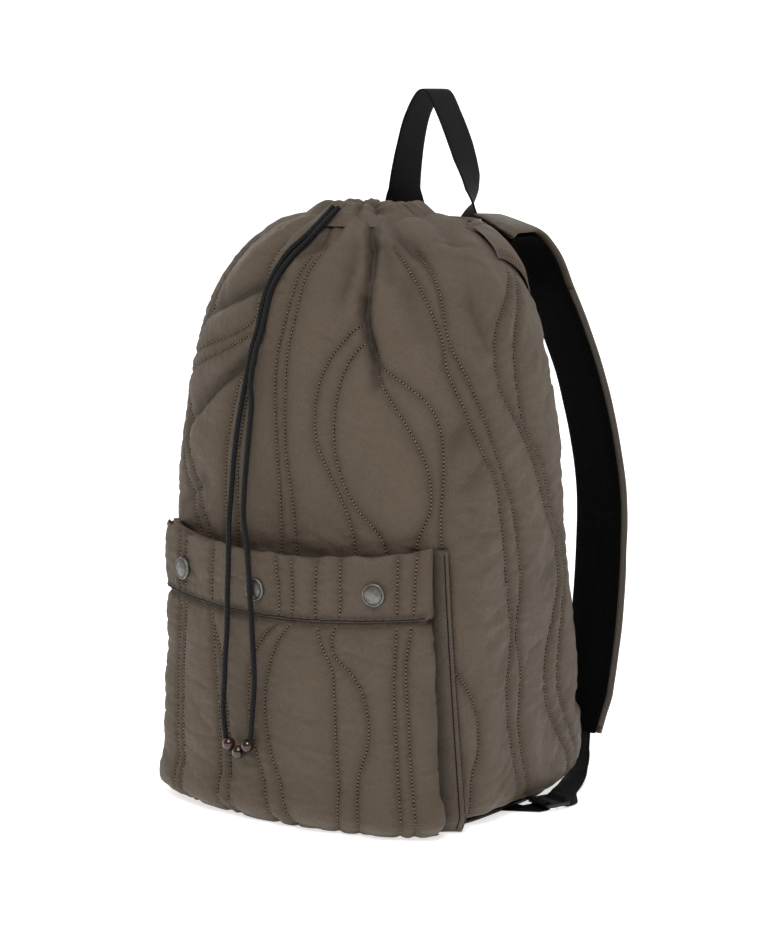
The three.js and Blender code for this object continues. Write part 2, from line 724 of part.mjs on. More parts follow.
// The strap's lock lies on the floor beside the bag's bottom edge
const LOCK_LENGTH = 3 * LOCK_BAR + 2 * LOCK_SLOT
const LOCK_TURN = 72 * degrees // its direction, from straight out to the side towards the back
const LOCK_WIDTH = WEBBING_WIDTH + 2 * LOCK_BAR + 1.2
const LOOP_RADIUS = Math.hypot(LOCK_BAR, LOCK_THICK) / 2 + WEBBING_THICK / 2 + CLEARANCE * 1.5
const FLAT_WEBBING = WEBBING_THICK / 2 + 2 * CLEARANCE // middle of a webbing that lies on the floor
const BASE_SIDE = BODY_HALF_WIDTH * SECTIONS[0].width + BASE_EDGE

const LOCK_PLACE = new THREE.Vector3(-BASE_SIDE - LOCK_OUT, LOCK_BACK, FLAT_WEBBING + LOOP_RADIUS)
const LOCK_DIRECTION = new THREE.Vector3(-Math.cos(LOCK_TURN), Math.sin(LOCK_TURN), 0)

function ladderLock() {
  const outline = new THREE.Shape()
  const [half, long] = [LOCK_WIDTH / 2, LOCK_LENGTH / 2]
  const cut = LOCK_BAR * 0.8
  outline.moveTo(-half + cut, -long)
  for (const [x, y] of [
    [half - cut, -long], [half, -long + cut], [half, long - cut], [half - cut, long],
    [-half + cut, long], [-half, long - cut], [-half, -long + cut],
  ]) {
    outline.lineTo(x, y)
  }
  const wide = WEBBING_WIDTH / 2 + CLEARANCE * 2
  for (const at of [-1, 1]) {
    const middle = (at * (LOCK_SLOT + LOCK_BAR)) / 2
    const slot = new THREE.Path()
    slot.moveTo(-wide, middle - LOCK_SLOT / 2)
    slot.lineTo(-wide, middle + LOCK_SLOT / 2)
    slot.lineTo(wide, middle + LOCK_SLOT / 2)
    slot.lineTo(wide, middle - LOCK_SLOT / 2)
    outline.holes.push(slot)
  }
  const lock = new THREE.ExtrudeGeometry(outline, { depth: LOCK_THICK, bevelEnabled: false })
  lock.translate(0, 0, -LOCK_THICK / 2)
  lock.rotateZ(Math.atan2(LOCK_DIRECTION.y, LOCK_DIRECTION.x) - Math.PI / 2)
  lock.translate(LOCK_PLACE.x, LOCK_PLACE.y, LOCK_PLACE.z)
  return toGeometry(toSolid(lock))
}

// A webbing's way round one end bar of the lock, from below to above: end is 1 for the back bar, -1 for
// the front one
function roundBar(end) {
  const bar = (end * (LOCK_LENGTH - LOCK_BAR)) / 2
  const spot = (out, up) => {
    return LOCK_PLACE.clone().addScaledVector(LOCK_DIRECTION, bar + end * out).add(new THREE.Vector3(0, 0, up))
  }
  const turn = [-90, -135, 180, 135, 90].map((angle) => {
    return spot(LOOP_RADIUS * Math.cos(angle * degrees), LOOP_RADIUS * Math.sin(angle * degrees))
  })
  return [spot(LOCK_BAR * 1.5, -LOOP_RADIUS), ...turn, spot(LOCK_BAR * 1.8, LOOP_RADIUS * 0.9)]
}

// Stations of the lower webbing from the strap's end round the bag's corner to the lock: across in shares of
// the half width, back in shares of the back's depth, height in shares of the bag's
const WEBBING_STATIONS = table(
  ['across', 'back', 'height'],
  [
    [0.813, 1.02, 0.042],
    [0.85, 0.9, 0.015],
    [0.888, 0.765, 0.004],
    [0.933, 0.6, 0],
  ],
)

function strapWebbing() {
  const { points: strap } = strapCurve()
  const end = strap[strap.length - 1]
  const points = [
    end.clone().add(new THREE.Vector3(0, 0, -LAYER_GAP * 4)),
    ...WEBBING_STATIONS.map((row) => {
      const z = FLAT_WEBBING + row.height * BODY_HEIGHT
      return new THREE.Vector3(-row.across * BODY_HALF_WIDTH, row.back * BACK_DEPTH, z)
    }),
    ...roundBar(1),
  ]
  const curve = new THREE.CatmullRomCurve3(points, false, 'centripetal')
  const turns = table(['at', 'turn'], [[0, STRAP_TWIST], [0.3, 28], [0.6, 24], [0.8, 18], [1, 18]])
  const rings = strip({
    curve,
    steps: 32,
    sideAt: (share) => {
      const turn = between(turns, 'at', share).turn * degrees
      return new THREE.Vector3(Math.cos(turn), Math.sin(turn), 0)
    },
    width: WEBBING_WIDTH,
    thick: WEBBING_THICK,
  })
  return loft(rings)
}

// The tab that holds the lock: a strip from the seam of the base, round the lock's front bar
function cornerTab() {
  const across = new THREE.Vector3(-LOCK_DIRECTION.y, LOCK_DIRECTION.x, 0)
  const loop = roundBar(-1)
  const seat = new THREE.Vector3(-BASE_SIDE - CLEARANCE, LOCK_BACK - TAB_DROP, FLAT_WEBBING)
  const start = loop[0].clone().addScaledVector(LOCK_DIRECTION, -LOCK_BAR)
  const curve = new THREE.CatmullRomCurve3([start, ...loop], false, 'centripetal')
  const rings = strip({
    curve,
    steps: 18,
    sideAt: () => across.clone(),
    width: WEBBING_WIDTH,
    thick: WEBBING_THICK,
  })
  const sewn = FLAT_SECTION.map(([over], j) => {
    return new THREE.Vector3(seat.x, seat.y - over * WEBBING_WIDTH, rings[1][j].z)
  })
  const turning = [0, 0.3, 0.6, 0.8].map((share) => sewn.map((spot, j) => spot.clone().lerp(rings[1][j], share)))
  return loft([...turning, ...rings.slice(1)])
}

// The drawcord leaves the front of the collar, hangs over the bag and the pocket, turns through its three
// beads and goes back up beside itself into the same slit. The points of its two strands, from the slit
// down, were chosen by hand.
const LEFT_STRAND = [
  [-4, -38, 434], [-8, -46.5, 425], [-14.5, -59, 412.5], [-21, -67.5, 403.5], [-27.5, -74.5, 390],
  [-30, -82, 377], [-30.5, -87.5, 364], [-31, -91.5, 350], [-34, -95, 334], [-37, -98.5, 311],
  [-39, -100.5, 296], [-42, -102, 277], [-44, -103.5, 256], [-43.5, -107, 234], [-40, -114, 215.5],
  [-34.5, -121.5, 199], [-32.5, -124.5, 186], [-33, -125, 166], [-33, -126, 138], [-34, -127, 118],
  [-34, -128, 101], [-34.5, -129, 82],
]
const RIGHT_STRAND = [
  [1, -38, 433.5], [-3.5, -47.5, 424], [-11, -60.5, 409.5], [-17, -69.5, 399.5], [-23, -76, 388],
  [-25.5, -83, 375.5], [-26, -88, 362.5], [-26, -92.5, 349], [-29, -96.5, 333], [-31, -100, 311],
  [-29, -101.5, 299], [-30, -103, 278], [-32, -104, 256], [-31, -108, 234], [-25.5, -115.5, 217],
  [-17.5, -122, 200], [-14.5, -124.5, 187], [-13, -125, 171], [-11, -126, 153], [-9, -127, 133],
  [-7, -128, 104], [-8, -129, 82],
]
const CORD_TURN = { x: -21, y: -129.5, z: 61, radius: 11 }
const CORD_STEPS = 69 // odd, so that the middle step runs through the middle bead

function cordCurve() {
  const { x, y, z, radius } = CORD_TURN
  const turn = [180, 210, 240, 270, 300, 330, 360].map((angle) => {
    return new THREE.Vector3(x + radius * Math.cos(angle * degrees), y, z + radius * Math.sin(angle * degrees))
  })
  const [left, right] = [LEFT_STRAND, RIGHT_STRAND].map((strand) => strand.map((spot) => new THREE.Vector3(...spot)))
  return new THREE.CatmullRomCurve3([...left, ...turn, ...right.reverse()], false, 'centripetal')
}

function drawcord() {
  const section = new THREE.Shape().setFromPoints(circlePoints(CORD_DIAMETER / 2, 8))
  return new THREE.ExtrudeGeometry(section, { steps: CORD_STEPS, extrudePath: cordCurve() })
}

function circlePoints(radius, count) {
  return Array.from({ length: count }, (_, k) => {
    const angle = (2 * Math.PI * k) / count
    return new THREE.Vector2(radius * Math.cos(angle), radius * Math.sin(angle))
  })
}

// A round bead, drilled along the step of the cord that it is on: -1, 0 and 1 are the three steps of the turn
function bead(step) {
  const bore = BEAD_BORE / 2
  const half = Math.sqrt((BEAD_DIAMETER / 2) ** 2 - bore ** 2)
  const profile = [new THREE.Vector2(bore, half), new THREE.Vector2(bore, -half)]
  const spread = Math.atan2(half, bore)
  for (const share of [-0.6, -0.2, 0.2, 0.6]) {
    const angle = spread * share
    profile.push(new THREE.Vector2(Math.cos(angle), Math.sin(angle)).multiplyScalar(BEAD_DIAMETER / 2))
  }
  const geometry = new THREE.LatheGeometry([...profile, profile[0]], 12)
  const ends = [step - 0.5, step + 0.5].map((at) => cordCurve().getPointAt(0.5 + at / CORD_STEPS))
  const along = ends[1].clone().sub(ends[0]).normalize()
  geometry.applyQuaternion(new THREE.Quaternion().setFromUnitVectors(new THREE.Vector3(0, 1, 0), along))
  const middle = ends[0].add(ends[1]).multiplyScalar(0.5)
  return geometry.translate(middle.x, middle.y, middle.z)
}

// Colours, roughness and metalness of the real materials
const CLOTH = { color: 0x5e5449, roughness: 0.82, metalness: 0 }
const BLACK = { color: 0x151515, roughness: 0.85, metalness: 0 }
const PLASTIC = { color: 0x1a1a1b, roughness: 0.45, metalness: 0 }
const SILVER = { color: 0x8d8c88, roughness: 0.38, metalness: 1 }
const BEAD = { color: 0x3a2213, roughness: 0.25, metalness: 0 }

const group = new THREE.Group()
function add(name, geometry, finish) {
  const mesh = new THREE.Mesh(geometry, new THREE.MeshStandardMaterial(finish))
  mesh.name = name
  group.add(mesh)
}

add('bag_shell', bagShell(), CLOTH)
add('base_panel', basePanel(), BLACK)
add('collar_channel', collarChannel(), CLOTH)
add('front_pocket', frontPocket(), CLOTH)
add('pocket_band', pocketBand(), CLOTH)
for (const { side, across } of SNAPS) add(`snap_${side}`, snapCap(across), SILVER)
add('back_yoke', backYoke(), CLOTH)
add('carry_handle', carryHandle(), BLACK)
for (const [name, geometry, finish] of [
  ['strap_cover', strapCover(), CLOTH],
  ['strap_mesh', strapMesh(), BLACK],
  ['ladder_lock', ladderLock(), PLASTIC],
  ['strap_webbing', strapWebbing(), BLACK],
  ['corner_tab', cornerTab(), BLACK],
]) {
  add(`${name}_left`, geometry, finish)
  add(`${name}_right`, mirrored(geometry), finish)
}

add('drawcord', drawcord(), BLACK)
for (const [name, step] of [['left', -1], ['middle', 0], ['right', 1]]) add(`bead_${name}`, bead(step), BEAD)

export default group
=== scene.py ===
"""Looks of the quilted puffer backpack. Lengths are in millimetres until a mesh is made."""
import math

import bpy
import numpy as np
from mathutils import Matrix, Vector, kdtree, noise


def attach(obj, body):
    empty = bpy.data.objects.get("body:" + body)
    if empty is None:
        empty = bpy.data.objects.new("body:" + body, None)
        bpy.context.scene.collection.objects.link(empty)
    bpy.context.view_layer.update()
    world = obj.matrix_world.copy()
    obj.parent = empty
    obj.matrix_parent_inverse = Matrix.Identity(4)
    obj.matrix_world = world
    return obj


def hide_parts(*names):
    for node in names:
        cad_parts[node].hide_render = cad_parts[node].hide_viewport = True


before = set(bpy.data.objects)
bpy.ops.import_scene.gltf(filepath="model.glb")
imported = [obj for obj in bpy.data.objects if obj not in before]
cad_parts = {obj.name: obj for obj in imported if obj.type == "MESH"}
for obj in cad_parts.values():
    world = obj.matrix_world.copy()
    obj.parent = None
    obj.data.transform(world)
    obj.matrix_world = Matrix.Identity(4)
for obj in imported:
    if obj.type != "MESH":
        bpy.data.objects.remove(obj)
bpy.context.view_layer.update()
MM = 0.001
DEGREES = math.pi / 180

# Sizes of the CAD model
BODY_HEIGHT = 430
BODY_HALF_WIDTH = 134
FRONT_DEPTH = 97
BACK_DEPTH = 119
BODY_WALL = 7
SHELL_BOTTOM = 3.3
CLEARANCE = 0.3
POCKET_HALF_WIDTH = 118
POCKET_HEIGHT = 203
POCKET_DIP = 10
POCKET_DEPTH = 21
POCKET_BELLY = 6
POCKET_CROWN = 23
POCKET_WALL = 4
POCKET_FLOOR = 1
BAND_HEIGHT = 46
BAND_THICK = 2.6
SNAP_RADIUS = 8.2
SNAP_HEIGHT = 3.4
SNAP_DROP = 25
YOKE_HALF_REACH = 0.47
YOKE_TOP = 0.978
YOKE_LIFT = 1.2
YOKE_THICK = 3
ROOT_GAP = 2.1
STRAP_WIDTH = 56
STRAP_COVER = 4.6
STRAP_MESH = 4.2
LAYER_GAP = 0.6
STRAP_BOW = 46
STRAP_TWIST = 20
HANDLE_WIDTH = 32
HANDLE_THICK = 1.8
HANDLE_HALF_SPAN = 31
HANDLE_FOOT = 397
HANDLE_TOP = 518
WEBBING_WIDTH = 20
WEBBING_THICK = 1.2
LOCK_BAR = 3.0
LOCK_THICK = 2.0
LOCK_SLOT = 6
LOCK_LENGTH = 3 * LOCK_BAR + 2 * LOCK_SLOT
LOCK_TURN = 72
LOCK_BACK = 36
LOCK_OUT = 20.4
TAB_DROP = 22
CORD_DIAMETER = 4
CORD_STEPS = 69
BEAD_DIAMETER = 9.5
BEAD_BORE = 5

LINE_STEPS = 14
STITCH_PITCH = 2.7
STITCH_LENGTH = 1.15
HOLE_LAP = 0.1
HOLE_RADIUS = 0.5
HOLE_RISE = 0.08


def smoothstep(value, low, high):
    share = np.clip((value - low) / (high - low), 0, 1)
    return share * share * (3 - 2 * share)


def lerp(a, b, share):
    return a + (b - a) * share


def eased(xs, ys, wanted):
    """Values between table rows on a smooth curve that never overshoots."""
    xs, ys, wanted = np.asarray(xs, float), np.asarray(ys, float), np.asarray(wanted, float)
    gaps = np.diff(xs)
    slopes = np.diff(ys) / gaps
    tangents = np.zeros_like(ys)
    same = slopes[:-1] * slopes[1:] > 0
    mean = 2 * slopes[:-1] * slopes[1:] / np.where(same, slopes[:-1] + slopes[1:], 1)
    tangents[1:-1] = np.where(same, mean, 0)
    tangents[0], tangents[-1] = slopes[0], slopes[-1]
    k = np.clip(np.searchsorted(xs, wanted) - 1, 0, len(gaps) - 1)
    t = np.clip((wanted - xs[k]) / gaps[k], 0, 1)
    low = ys[k] * (1 + 2 * t) * (1 - t) ** 2 + tangents[k] * gaps[k] * t * (1 - t) ** 2
    high = ys[k + 1] * t * t * (3 - 2 * t) + tangents[k + 1] * gaps[k] * t * t * (t - 1)
    return low + high


def bell(value):
    return np.exp(-(value**2))


def run_along(points):
    """The length of a line of points up to each of them."""
    return np.concatenate([[0], np.cumsum(np.linalg.norm(np.diff(points, axis=0), axis=1))])


def walk(wanted, run, points):
    """The points, or other rows of three values, at these lengths along a line."""
    return np.stack([np.interp(wanted, run, points[:, k]) for k in range(3)], axis=-1)


class Curve:
    """A centripetal Catmull-Rom curve through points, read by its share of length."""

    def __init__(self, points):
        points = np.asarray(points, float)
        self.points = points
        padded = np.vstack([2 * points[0] - points[1], points, 2 * points[-1] - points[-2]])
        spots = []
        for k in range(1, len(padded) - 2):
            p0, p1, p2, p3 = padded[k - 1 : k + 3]
            d0, d1, d2 = (max(np.linalg.norm(way) ** 0.5, 1e-4) for way in (p1 - p0, p2 - p1, p3 - p2))
            t1 = ((p1 - p0) / d0 - (p2 - p0) / (d0 + d1) + (p2 - p1) / d1) * d1
            t2 = ((p2 - p1) / d1 - (p3 - p1) / (d1 + d2) + (p3 - p2) / d2) * d1
            t = np.linspace(0, 1, 24, endpoint=False)[:, None]
            near = p1 * (1 + 2 * t) * (1 - t) ** 2 + t1 * t * (1 - t) ** 2
            spots.append(near + p2 * t * t * (3 - 2 * t) + t2 * t * t * (t - 1))
        self.line = np.vstack([*spots, points[-1:]])
        self.run = run_along(self.line)
        self.length = self.run[-1]

    def at(self, shares):
        return walk(np.asarray(shares, float) * self.length, self.run, self.line)

    def along(self, shares, step=0.004):
        return unit(self.at(np.clip(shares + step, 0, 1)) - self.at(np.clip(shares - step, 0, 1)))

    def stations(self, shares):
        """The place of each share among the curve's points, from 0 to 1."""
        ends = run_along(self.points)
        return np.interp(shares, ends / ends[-1], np.linspace(0, 1, len(ends)))


def unit(vectors):
    return vectors / np.maximum(np.linalg.norm(vectors, axis=-1, keepdims=True), 1e-9)


def grid_normals(points, wrap):
    """Normals of a grid of points, out of the side where rows go up and columns go right."""
    if wrap:
        sideways = np.roll(points, -1, axis=1) - np.roll(points, 1, axis=1)
    else:
        sideways = np.gradient(points, axis=1)
    return unit(np.cross(sideways, np.gradient(points, axis=0)))


def roughness(points, scale, seed=0.0):
    """Smooth noise of about -1 to 1 at points, with bumps of about scale."""
    flat = points.reshape(-1, 3) / scale + seed
    return np.array([noise.noise(Vector(p)) for p in flat]).reshape(points.shape[:-1]) * 1.6


def new_object(name, mesh, material):
    """An object of a smooth mesh with one material."""
    mesh.polygons.foreach_set("use_smooth", [True] * len(mesh.polygons))
    mesh.update()
    mesh.materials.append(material)
    obj = bpy.data.objects.new(name, mesh)
    bpy.context.scene.collection.objects.link(obj)
    return obj


def add(obj, node=None):
    """Hides the node that a piece replaces, if any, and hangs the piece on the root."""
    if node:
        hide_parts(node)
    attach(obj, "root")


def grid_mesh(name, points, material, wrap=False, caps=False, uv=None, values=None, flip=False):
    """A mesh of a grid of points, with its UVs in metres."""
    rows, columns = points.shape[:2]
    index = np.arange(rows * columns).reshape(rows, columns)
    last = columns if wrap else columns - 1
    right = np.roll(index, -1, axis=1)
    corners = np.stack([index[:-1, :last], right[:-1, :last], right[1:, :last], index[1:, :last]], axis=-1)
    faces = corners.reshape(-1, 4)
    if flip:
        faces = faces[:, ::-1]
    polygons = faces.tolist()
    if caps:
        ends = [index[0, ::-1].tolist(), index[-1].tolist()]
        polygons += [end[::-1] for end in ends] if flip else ends
    mesh = bpy.data.meshes.new(name)
    mesh.from_pydata((points.reshape(-1, 3) * MM).tolist(), [], polygons)
    if uv is None:
        closed = np.concatenate([points, points[:, :1]], axis=1) if wrap else points
        across = np.linalg.norm(np.diff(closed, axis=1), axis=-1).mean(axis=0)
        up = np.linalg.norm(np.diff(points, axis=0), axis=-1).mean(axis=1)
        u = np.concatenate([[0], np.cumsum(across)])
        v = np.concatenate([[0], np.cumsum(up)])
        uv = np.stack(np.broadcast_arrays(u[None, :], v[:, None]), axis=-1)
    sheet = np.stack([uv[:-1, :last], uv[:-1, 1 : last + 1], uv[1:, 1 : last + 1], uv[1:, :last]], axis=2)
    loops = sheet.reshape(-1, 4, 2)
    if flip:
        loops = loops[:, ::-1]
    flat = np.zeros((len(mesh.loops), 2))
    flat[: loops.size // 2] = loops.reshape(-1, 2) * MM
    mesh.uv_layers.new(name="UVMap").data.foreach_set("uv", flat.ravel())
    for key, value in (values or {}).items():
        attribute = mesh.attributes.new(key, "FLOAT", "POINT")
        attribute.data.foreach_set("value", np.asarray(value, float).ravel())
    return new_object(name, mesh, material)


class Surface:
    """A grid of points with normals, read at fractional rows and columns."""

    def __init__(self, points, wrap=False, normals=None):
        self.points, self.wrap = points, wrap
        self.normals = grid_normals(points, wrap) if normals is None else normals

    def at(self, rows, columns):
        rows = np.clip(rows, 0, len(self.points) - 1.001)
        count = self.points.shape[1]
        columns = columns % count if self.wrap else np.clip(columns, 0, count - 1.001)
        r, c = rows.astype(int), columns.astype(int)
        fr, fc = (rows - r)[..., None], (columns - c)[..., None]
        across = (c + 1) % count
        spots = []
        for data in (self.points, self.normals):
            low = data[r, c] * (1 - fc) + data[r, across] * fc
            high = data[r + 1, c] * (1 - fc) + data[r + 1, across] * fc
            spots.append(low * (1 - fr) + high * fr)
        return spots[0], unit(spots[1])


def dense(line):
    """Extra stations between a line's own, on a smooth curve."""
    line = np.asarray(line, float)
    curve = Curve(np.column_stack([line, np.zeros(len(line))]) * 1000)
    return curve.at(np.linspace(0, 1, (len(line) - 1) * LINE_STEPS + 1))[:, :2] / 1000


def search_tree(spots):
    tree = kdtree.KDTree(len(spots))
    for number, spot in enumerate(spots):
        tree.insert(spot, number)
    tree.balance()
    return tree


class Seams:
    """Stitched lines on a surface, with the distance of any point to the nearest."""

    def __init__(self, surface, lines):
        spots, runs = [], []
        for number, line in enumerate(lines):
            points = surface.at(line[:, 0], line[:, 1])[0]
            run = run_along(points)
            even = np.arange(0, run[-1], 1.0)
            spots.append(walk(even, run, points))
            runs.append(even + 37.0 * number)
        self.runs = np.concatenate(runs)
        self.tree = search_tree(np.vstack(spots))

    def near(self, points):
        found = [self.tree.find(p) for p in points.reshape(-1, 3)]
        away = np.array([f[2] for f in found]).reshape(points.shape[:-1])
        run = self.runs[[f[1] for f in found]].reshape(points.shape[:-1])
        return away, run


stitch_sets = {}


def stitch(group, surface, line, radius=0.36, lift=0.3):
    """Lays a row of stitches, with dark pieces between them as painted shade in their needle holes, on a surface
    along a line of rows and columns.
    """
    points, normals = surface.at(line[:, 0], line[:, 1])
    run = run_along(points)
    starts = np.arange(STITCH_PITCH, run[-1] - STITCH_PITCH, STITCH_PITCH)
    normal = walk(starts, run, normals)
    for kind, offset, size, thick, rise in (
        ("thread", 0, STITCH_LENGTH, radius, lift),
        ("hole", STITCH_LENGTH - HOLE_LAP, STITCH_PITCH - STITCH_LENGTH + HOLE_LAP, HOLE_RADIUS, HOLE_RISE),
    ):
        first, second = (walk(starts + offset + far, run, points) + normal * rise for far in (0, size))
        row = (first, second, unit(normal), np.full(len(starts), thick))
        stitch_sets.setdefault((group, kind), []).append(row)


def stitch_mesh(name, rows, material):
    """One mesh of all the stitches in these rows."""
    first, second, normal, radius = (np.concatenate(parts) for parts in zip(*rows))
    side = unit(np.cross(normal, unit(second - first)))
    rings = []
    for share, swell in ((0, 0.35), (0.2, 1), (0.8, 1), (1, 0.35)):
        middle = first + (second - first) * share
        for across, up in ((1, 0), (0, 1), (-1, 0), (0, -1)):
            rings.append(middle + (side * across + normal * up * 0.8) * (radius * swell)[:, None])
    points = np.stack(rings, axis=1)
    around = [(k, (k + 1) % 4) for k in range(4)]
    quads = [[4 * r + a, 4 * r + b, 4 * r + 4 + b, 4 * r + 4 + a] for r in range(3) for a, b in around]
    quads += [[3, 2, 1, 0], [12, 13, 14, 15]]
    faces = (np.array(quads)[None] + 16 * np.arange(len(points))[:, None, None]).reshape(-1, 4)
    mesh = bpy.data.meshes.new(name)
    mesh.from_pydata((points.reshape(-1, 3) * MM).tolist(), [], faces.tolist())
    return new_object(name, mesh, material)


class Material:
    def __init__(self, name, roughness=0.8):
        self.material = bpy.data.materials.new(name)
        self.material.use_nodes = True
        self.tree = self.material.node_tree
        self.shader = self.tree.nodes["Principled BSDF"]
        self.shader.inputs["Roughness"].default_value = roughness
        self.place = self.node("TexCoord").outputs["Object"]

    def node(self, kind, inputs=None, **settings):
        node = self.tree.nodes.new("ShaderNode" + kind)
        for key, value in settings.items():
            setattr(node, key, value)
        for key, value in (inputs or {}).items():
            self.feed(node.inputs[key], value)
        return node

    def feed(self, socket, value):
        if isinstance(value, bpy.types.NodeSocket):
            self.tree.links.new(value, socket)
        else:
            socket.default_value = value

    def math(self, operation, *values):
        return self.node("Math", dict(enumerate(values)), operation=operation).outputs[0]

    def mix(self, factor, one, other):
        node = self.node("Mix", data_type="RGBA", blend_type="MIX")
        for key, kind, value in (("Factor", "VALUE", factor), ("A", "RGBA", one), ("B", "RGBA", other)):
            self.feed([s for s in node.inputs if s.name == key and s.type == kind][0], value)
        return [s for s in node.outputs if s.type == "RGBA"][0]

    def ramp(self, value, low, high):
        return self.node("MapRange", {"Value": value, "From Min": low, "From Max": high}).outputs["Result"]

    def tint(self, colour, other, amount, value, low=0, high=1):
        """Mixes another colour in, up to that amount, as the value goes from low to high."""
        return self.mix(self.math("MULTIPLY", self.ramp(value, low, high), amount), colour, other)

    def noise(self, scale, detail=2.0):
        return self.node("TexNoise", {"Scale": scale, "Detail": detail, "Vector": self.place}).outputs["Fac"]

    def uv(self):
        return self.node("SeparateXYZ", {"Vector": self.node("TexCoord").outputs["UV"]}).outputs[:2]

    def wave(self, value, pitch):
        return self.math("SINE", self.math("MULTIPLY", value, 2 * math.pi / pitch))

    def slanted(self, value, other, slant):
        return self.math("ADD", value, self.math("MULTIPLY", other, slant))

    def attribute(self, name):
        return self.node("Attribute", attribute_name=name).outputs["Fac"]

    def finish(self, inputs, bumps):
        """Feeds the shader and chains bumps of (height, strength, distance)."""
        normal = None
        for height, strength, distance in bumps:
            settings = {"Height": height, "Strength": strength, "Distance": distance}
            if normal is not None:
                settings["Normal"] = normal
            normal = self.node("Bump", settings).outputs["Normal"]
        for key, value in {**inputs, "Normal": normal}.items():
            self.feed(self.shader.inputs[key], value)
        return self.material


def rgb(red, green, blue):
    """A colour given by its sRGB values."""
    linear = [c / 255 / 12.92 if c <= 10 else ((c / 255 + 0.055) / 1.055) ** 2.4 for c in (red, green, blue)]
    return (*linear, 1)


def shade(colour, factor):
    return tuple(factor * c for c in colour[:3]) + (1,)


def cloth_material(name, base, cross, sheen=0.07, wrinkle=0.5, grooves=False):
    """Cross-dyed plain weave with soft colour changes; where asked, painted highlight on the puffs and painted
    shade in the seams and folds.
    """
    made = Material(name)
    waves = [made.wave(way, 2 * WEAVE_PITCH) for way in made.uv()]
    over = made.ramp(made.math("MULTIPLY", *waves), -0.25, 0.25)
    crowns = [made.math("ABSOLUTE", wave) for wave in waves]
    under = made.math("MULTIPLY", crowns[1], made.math("SUBTRACT", 1.0, over))
    height = made.math("ADD", made.math("MULTIPLY", crowns[0], over), under)
    colour = made.mix(over, base, cross)
    colour = made.tint(colour, shade(base, 1.55), 0.5, made.noise(2600.0), 0.35, 0.68)
    colour = made.tint(colour, shade(base, 0.5), 0.5, made.noise(900.0, 3.0), 0.6, 0.36)
    colour = made.tint(colour, shade(base, 1.22), 0.16, made.noise(11.0, 3.0), 0.35, 0.7)
    if grooves:
        # painted shade darkens the seams and folds, and painted highlight lightens the puff crowns
        colour = made.tint(colour, shade(base, 0.16), 0.94, made.attribute("groove"))
        colour = made.tint(colour, shade(base, 1.35), 0.14, made.attribute("puff"))
    looks = {
        "Base Color": colour,
        "Roughness": made.ramp(made.noise(60.0), -0.9, 1.3),
        "Sheen Weight": sheen,
        "Sheen Roughness": 0.45,
        "Sheen Tint": rgb(190, 176, 158),
        "Specular IOR Level": 0.3,
    }
    crumple, fine = made.noise(95.0, 3.0), made.noise(420.0)
    return made.finish(looks, [(crumple, wrinkle, 0.004), (fine, 0.22, 0.0012), (height, 0.35, 0.0003)])


def webbing_material(name, base, pitch=0.0011):
    """Flat ribbed webbing: ribs along it and fine steps across."""
    made = Material(name)
    across, along = made.uv()
    rib = made.wave(across, pitch)
    step = made.wave(made.slanted(along, made.math("ABSOLUTE", rib), 0.0003), 0.0009)
    height = made.slanted(rib, step, 0.6)
    fuzz = made.noise(1900.0)
    # the rib valleys are painted darker: painted shade in the recesses
    colour = made.mix(made.ramp(height, -1.6, 1.6), shade(base, 0.45), base)
    colour = made.tint(colour, shade(base, 2.2), 0.35, fuzz, 0.45, 0.75)
    looks = {"Base Color": colour, "Roughness": made.ramp(fuzz, -1.4, 1.2), "Specular IOR Level": 0.14}
    return made.finish(looks, [(made.noise(60.0), 0.25, 0.003), (height, 0.6, 0.00035)])


def knit_material(name, base):
    """Spacer mesh: rows of slanted eyelets in a herringbone, painted dark as painted shade in the holes, on a
    black knit.
    """
    made = Material(name, 0.9)
    across, along = made.uv()
    dash = made.wave(made.slanted(along, made.math("PINGPONG", across, KNIT_COLUMN), 0.75), 0.0031)
    column = made.wave(across, KNIT_COLUMN)
    eyelet = made.math("MULTIPLY", made.ramp(dash, 0.05, 0.75), made.ramp(column, -0.5, 0.5))
    fuzz = made.noise(2300.0)
    # painted shade in the eyelets
    colour = made.mix(eyelet, base, shade(base, 0.18))
    colour = made.tint(colour, shade(base, 2.4), 0.5, fuzz, 0.5, 0.72)
    bumps = [(made.math("SUBTRACT", 1.0, eyelet), 0.9, 0.0009), (fuzz, 0.4, 0.0003)]
    return made.finish({"Base Color": colour, "Specular IOR Level": 0.05}, bumps)


def cord_material(name, base):
    """A round braid: two sets of threads crossing at a slant."""
    made = Material(name)
    uv = made.uv()
    across = made.math("MULTIPLY", uv[0], 2 * BRAID_THREADS / (CORD_DIAMETER * MM))
    along = made.math("MULTIPLY", uv[1], 2 * math.pi / 0.0042)
    braids = [made.math("SINE", made.math(way, across, along)) for way in ("ADD", "SUBTRACT")]
    height = made.math("MAXIMUM", *braids)
    # the braid's valleys are painted darker: painted shade in the recesses
    looks = {
        "Base Color": made.mix(made.ramp(height, -0.2, 1.0), shade(base, 0.3), base),
        "Roughness": made.ramp(made.node("TexNoise", {"Scale": 900.0}).outputs["Fac"], -1.0, 1.4),
        "Sheen Weight": 0.03,
        "Specular IOR Level": 0.25,
    }
    return made.finish(looks, [(height, 0.7, 0.0004)])


def plastic_material(name, base):
    made = Material(name)
    worn = made.noise(140.0, 3.0)
    colour = made.tint(base, shade(base, 2.0), 0.4, worn, 0.5, 0.8)
    looks = {"Base Color": colour, "Roughness": made.ramp(worn, -0.55, 1.4)}
    return made.finish(looks, [(made.noise(2200.0), 0.3, 0.0002)])


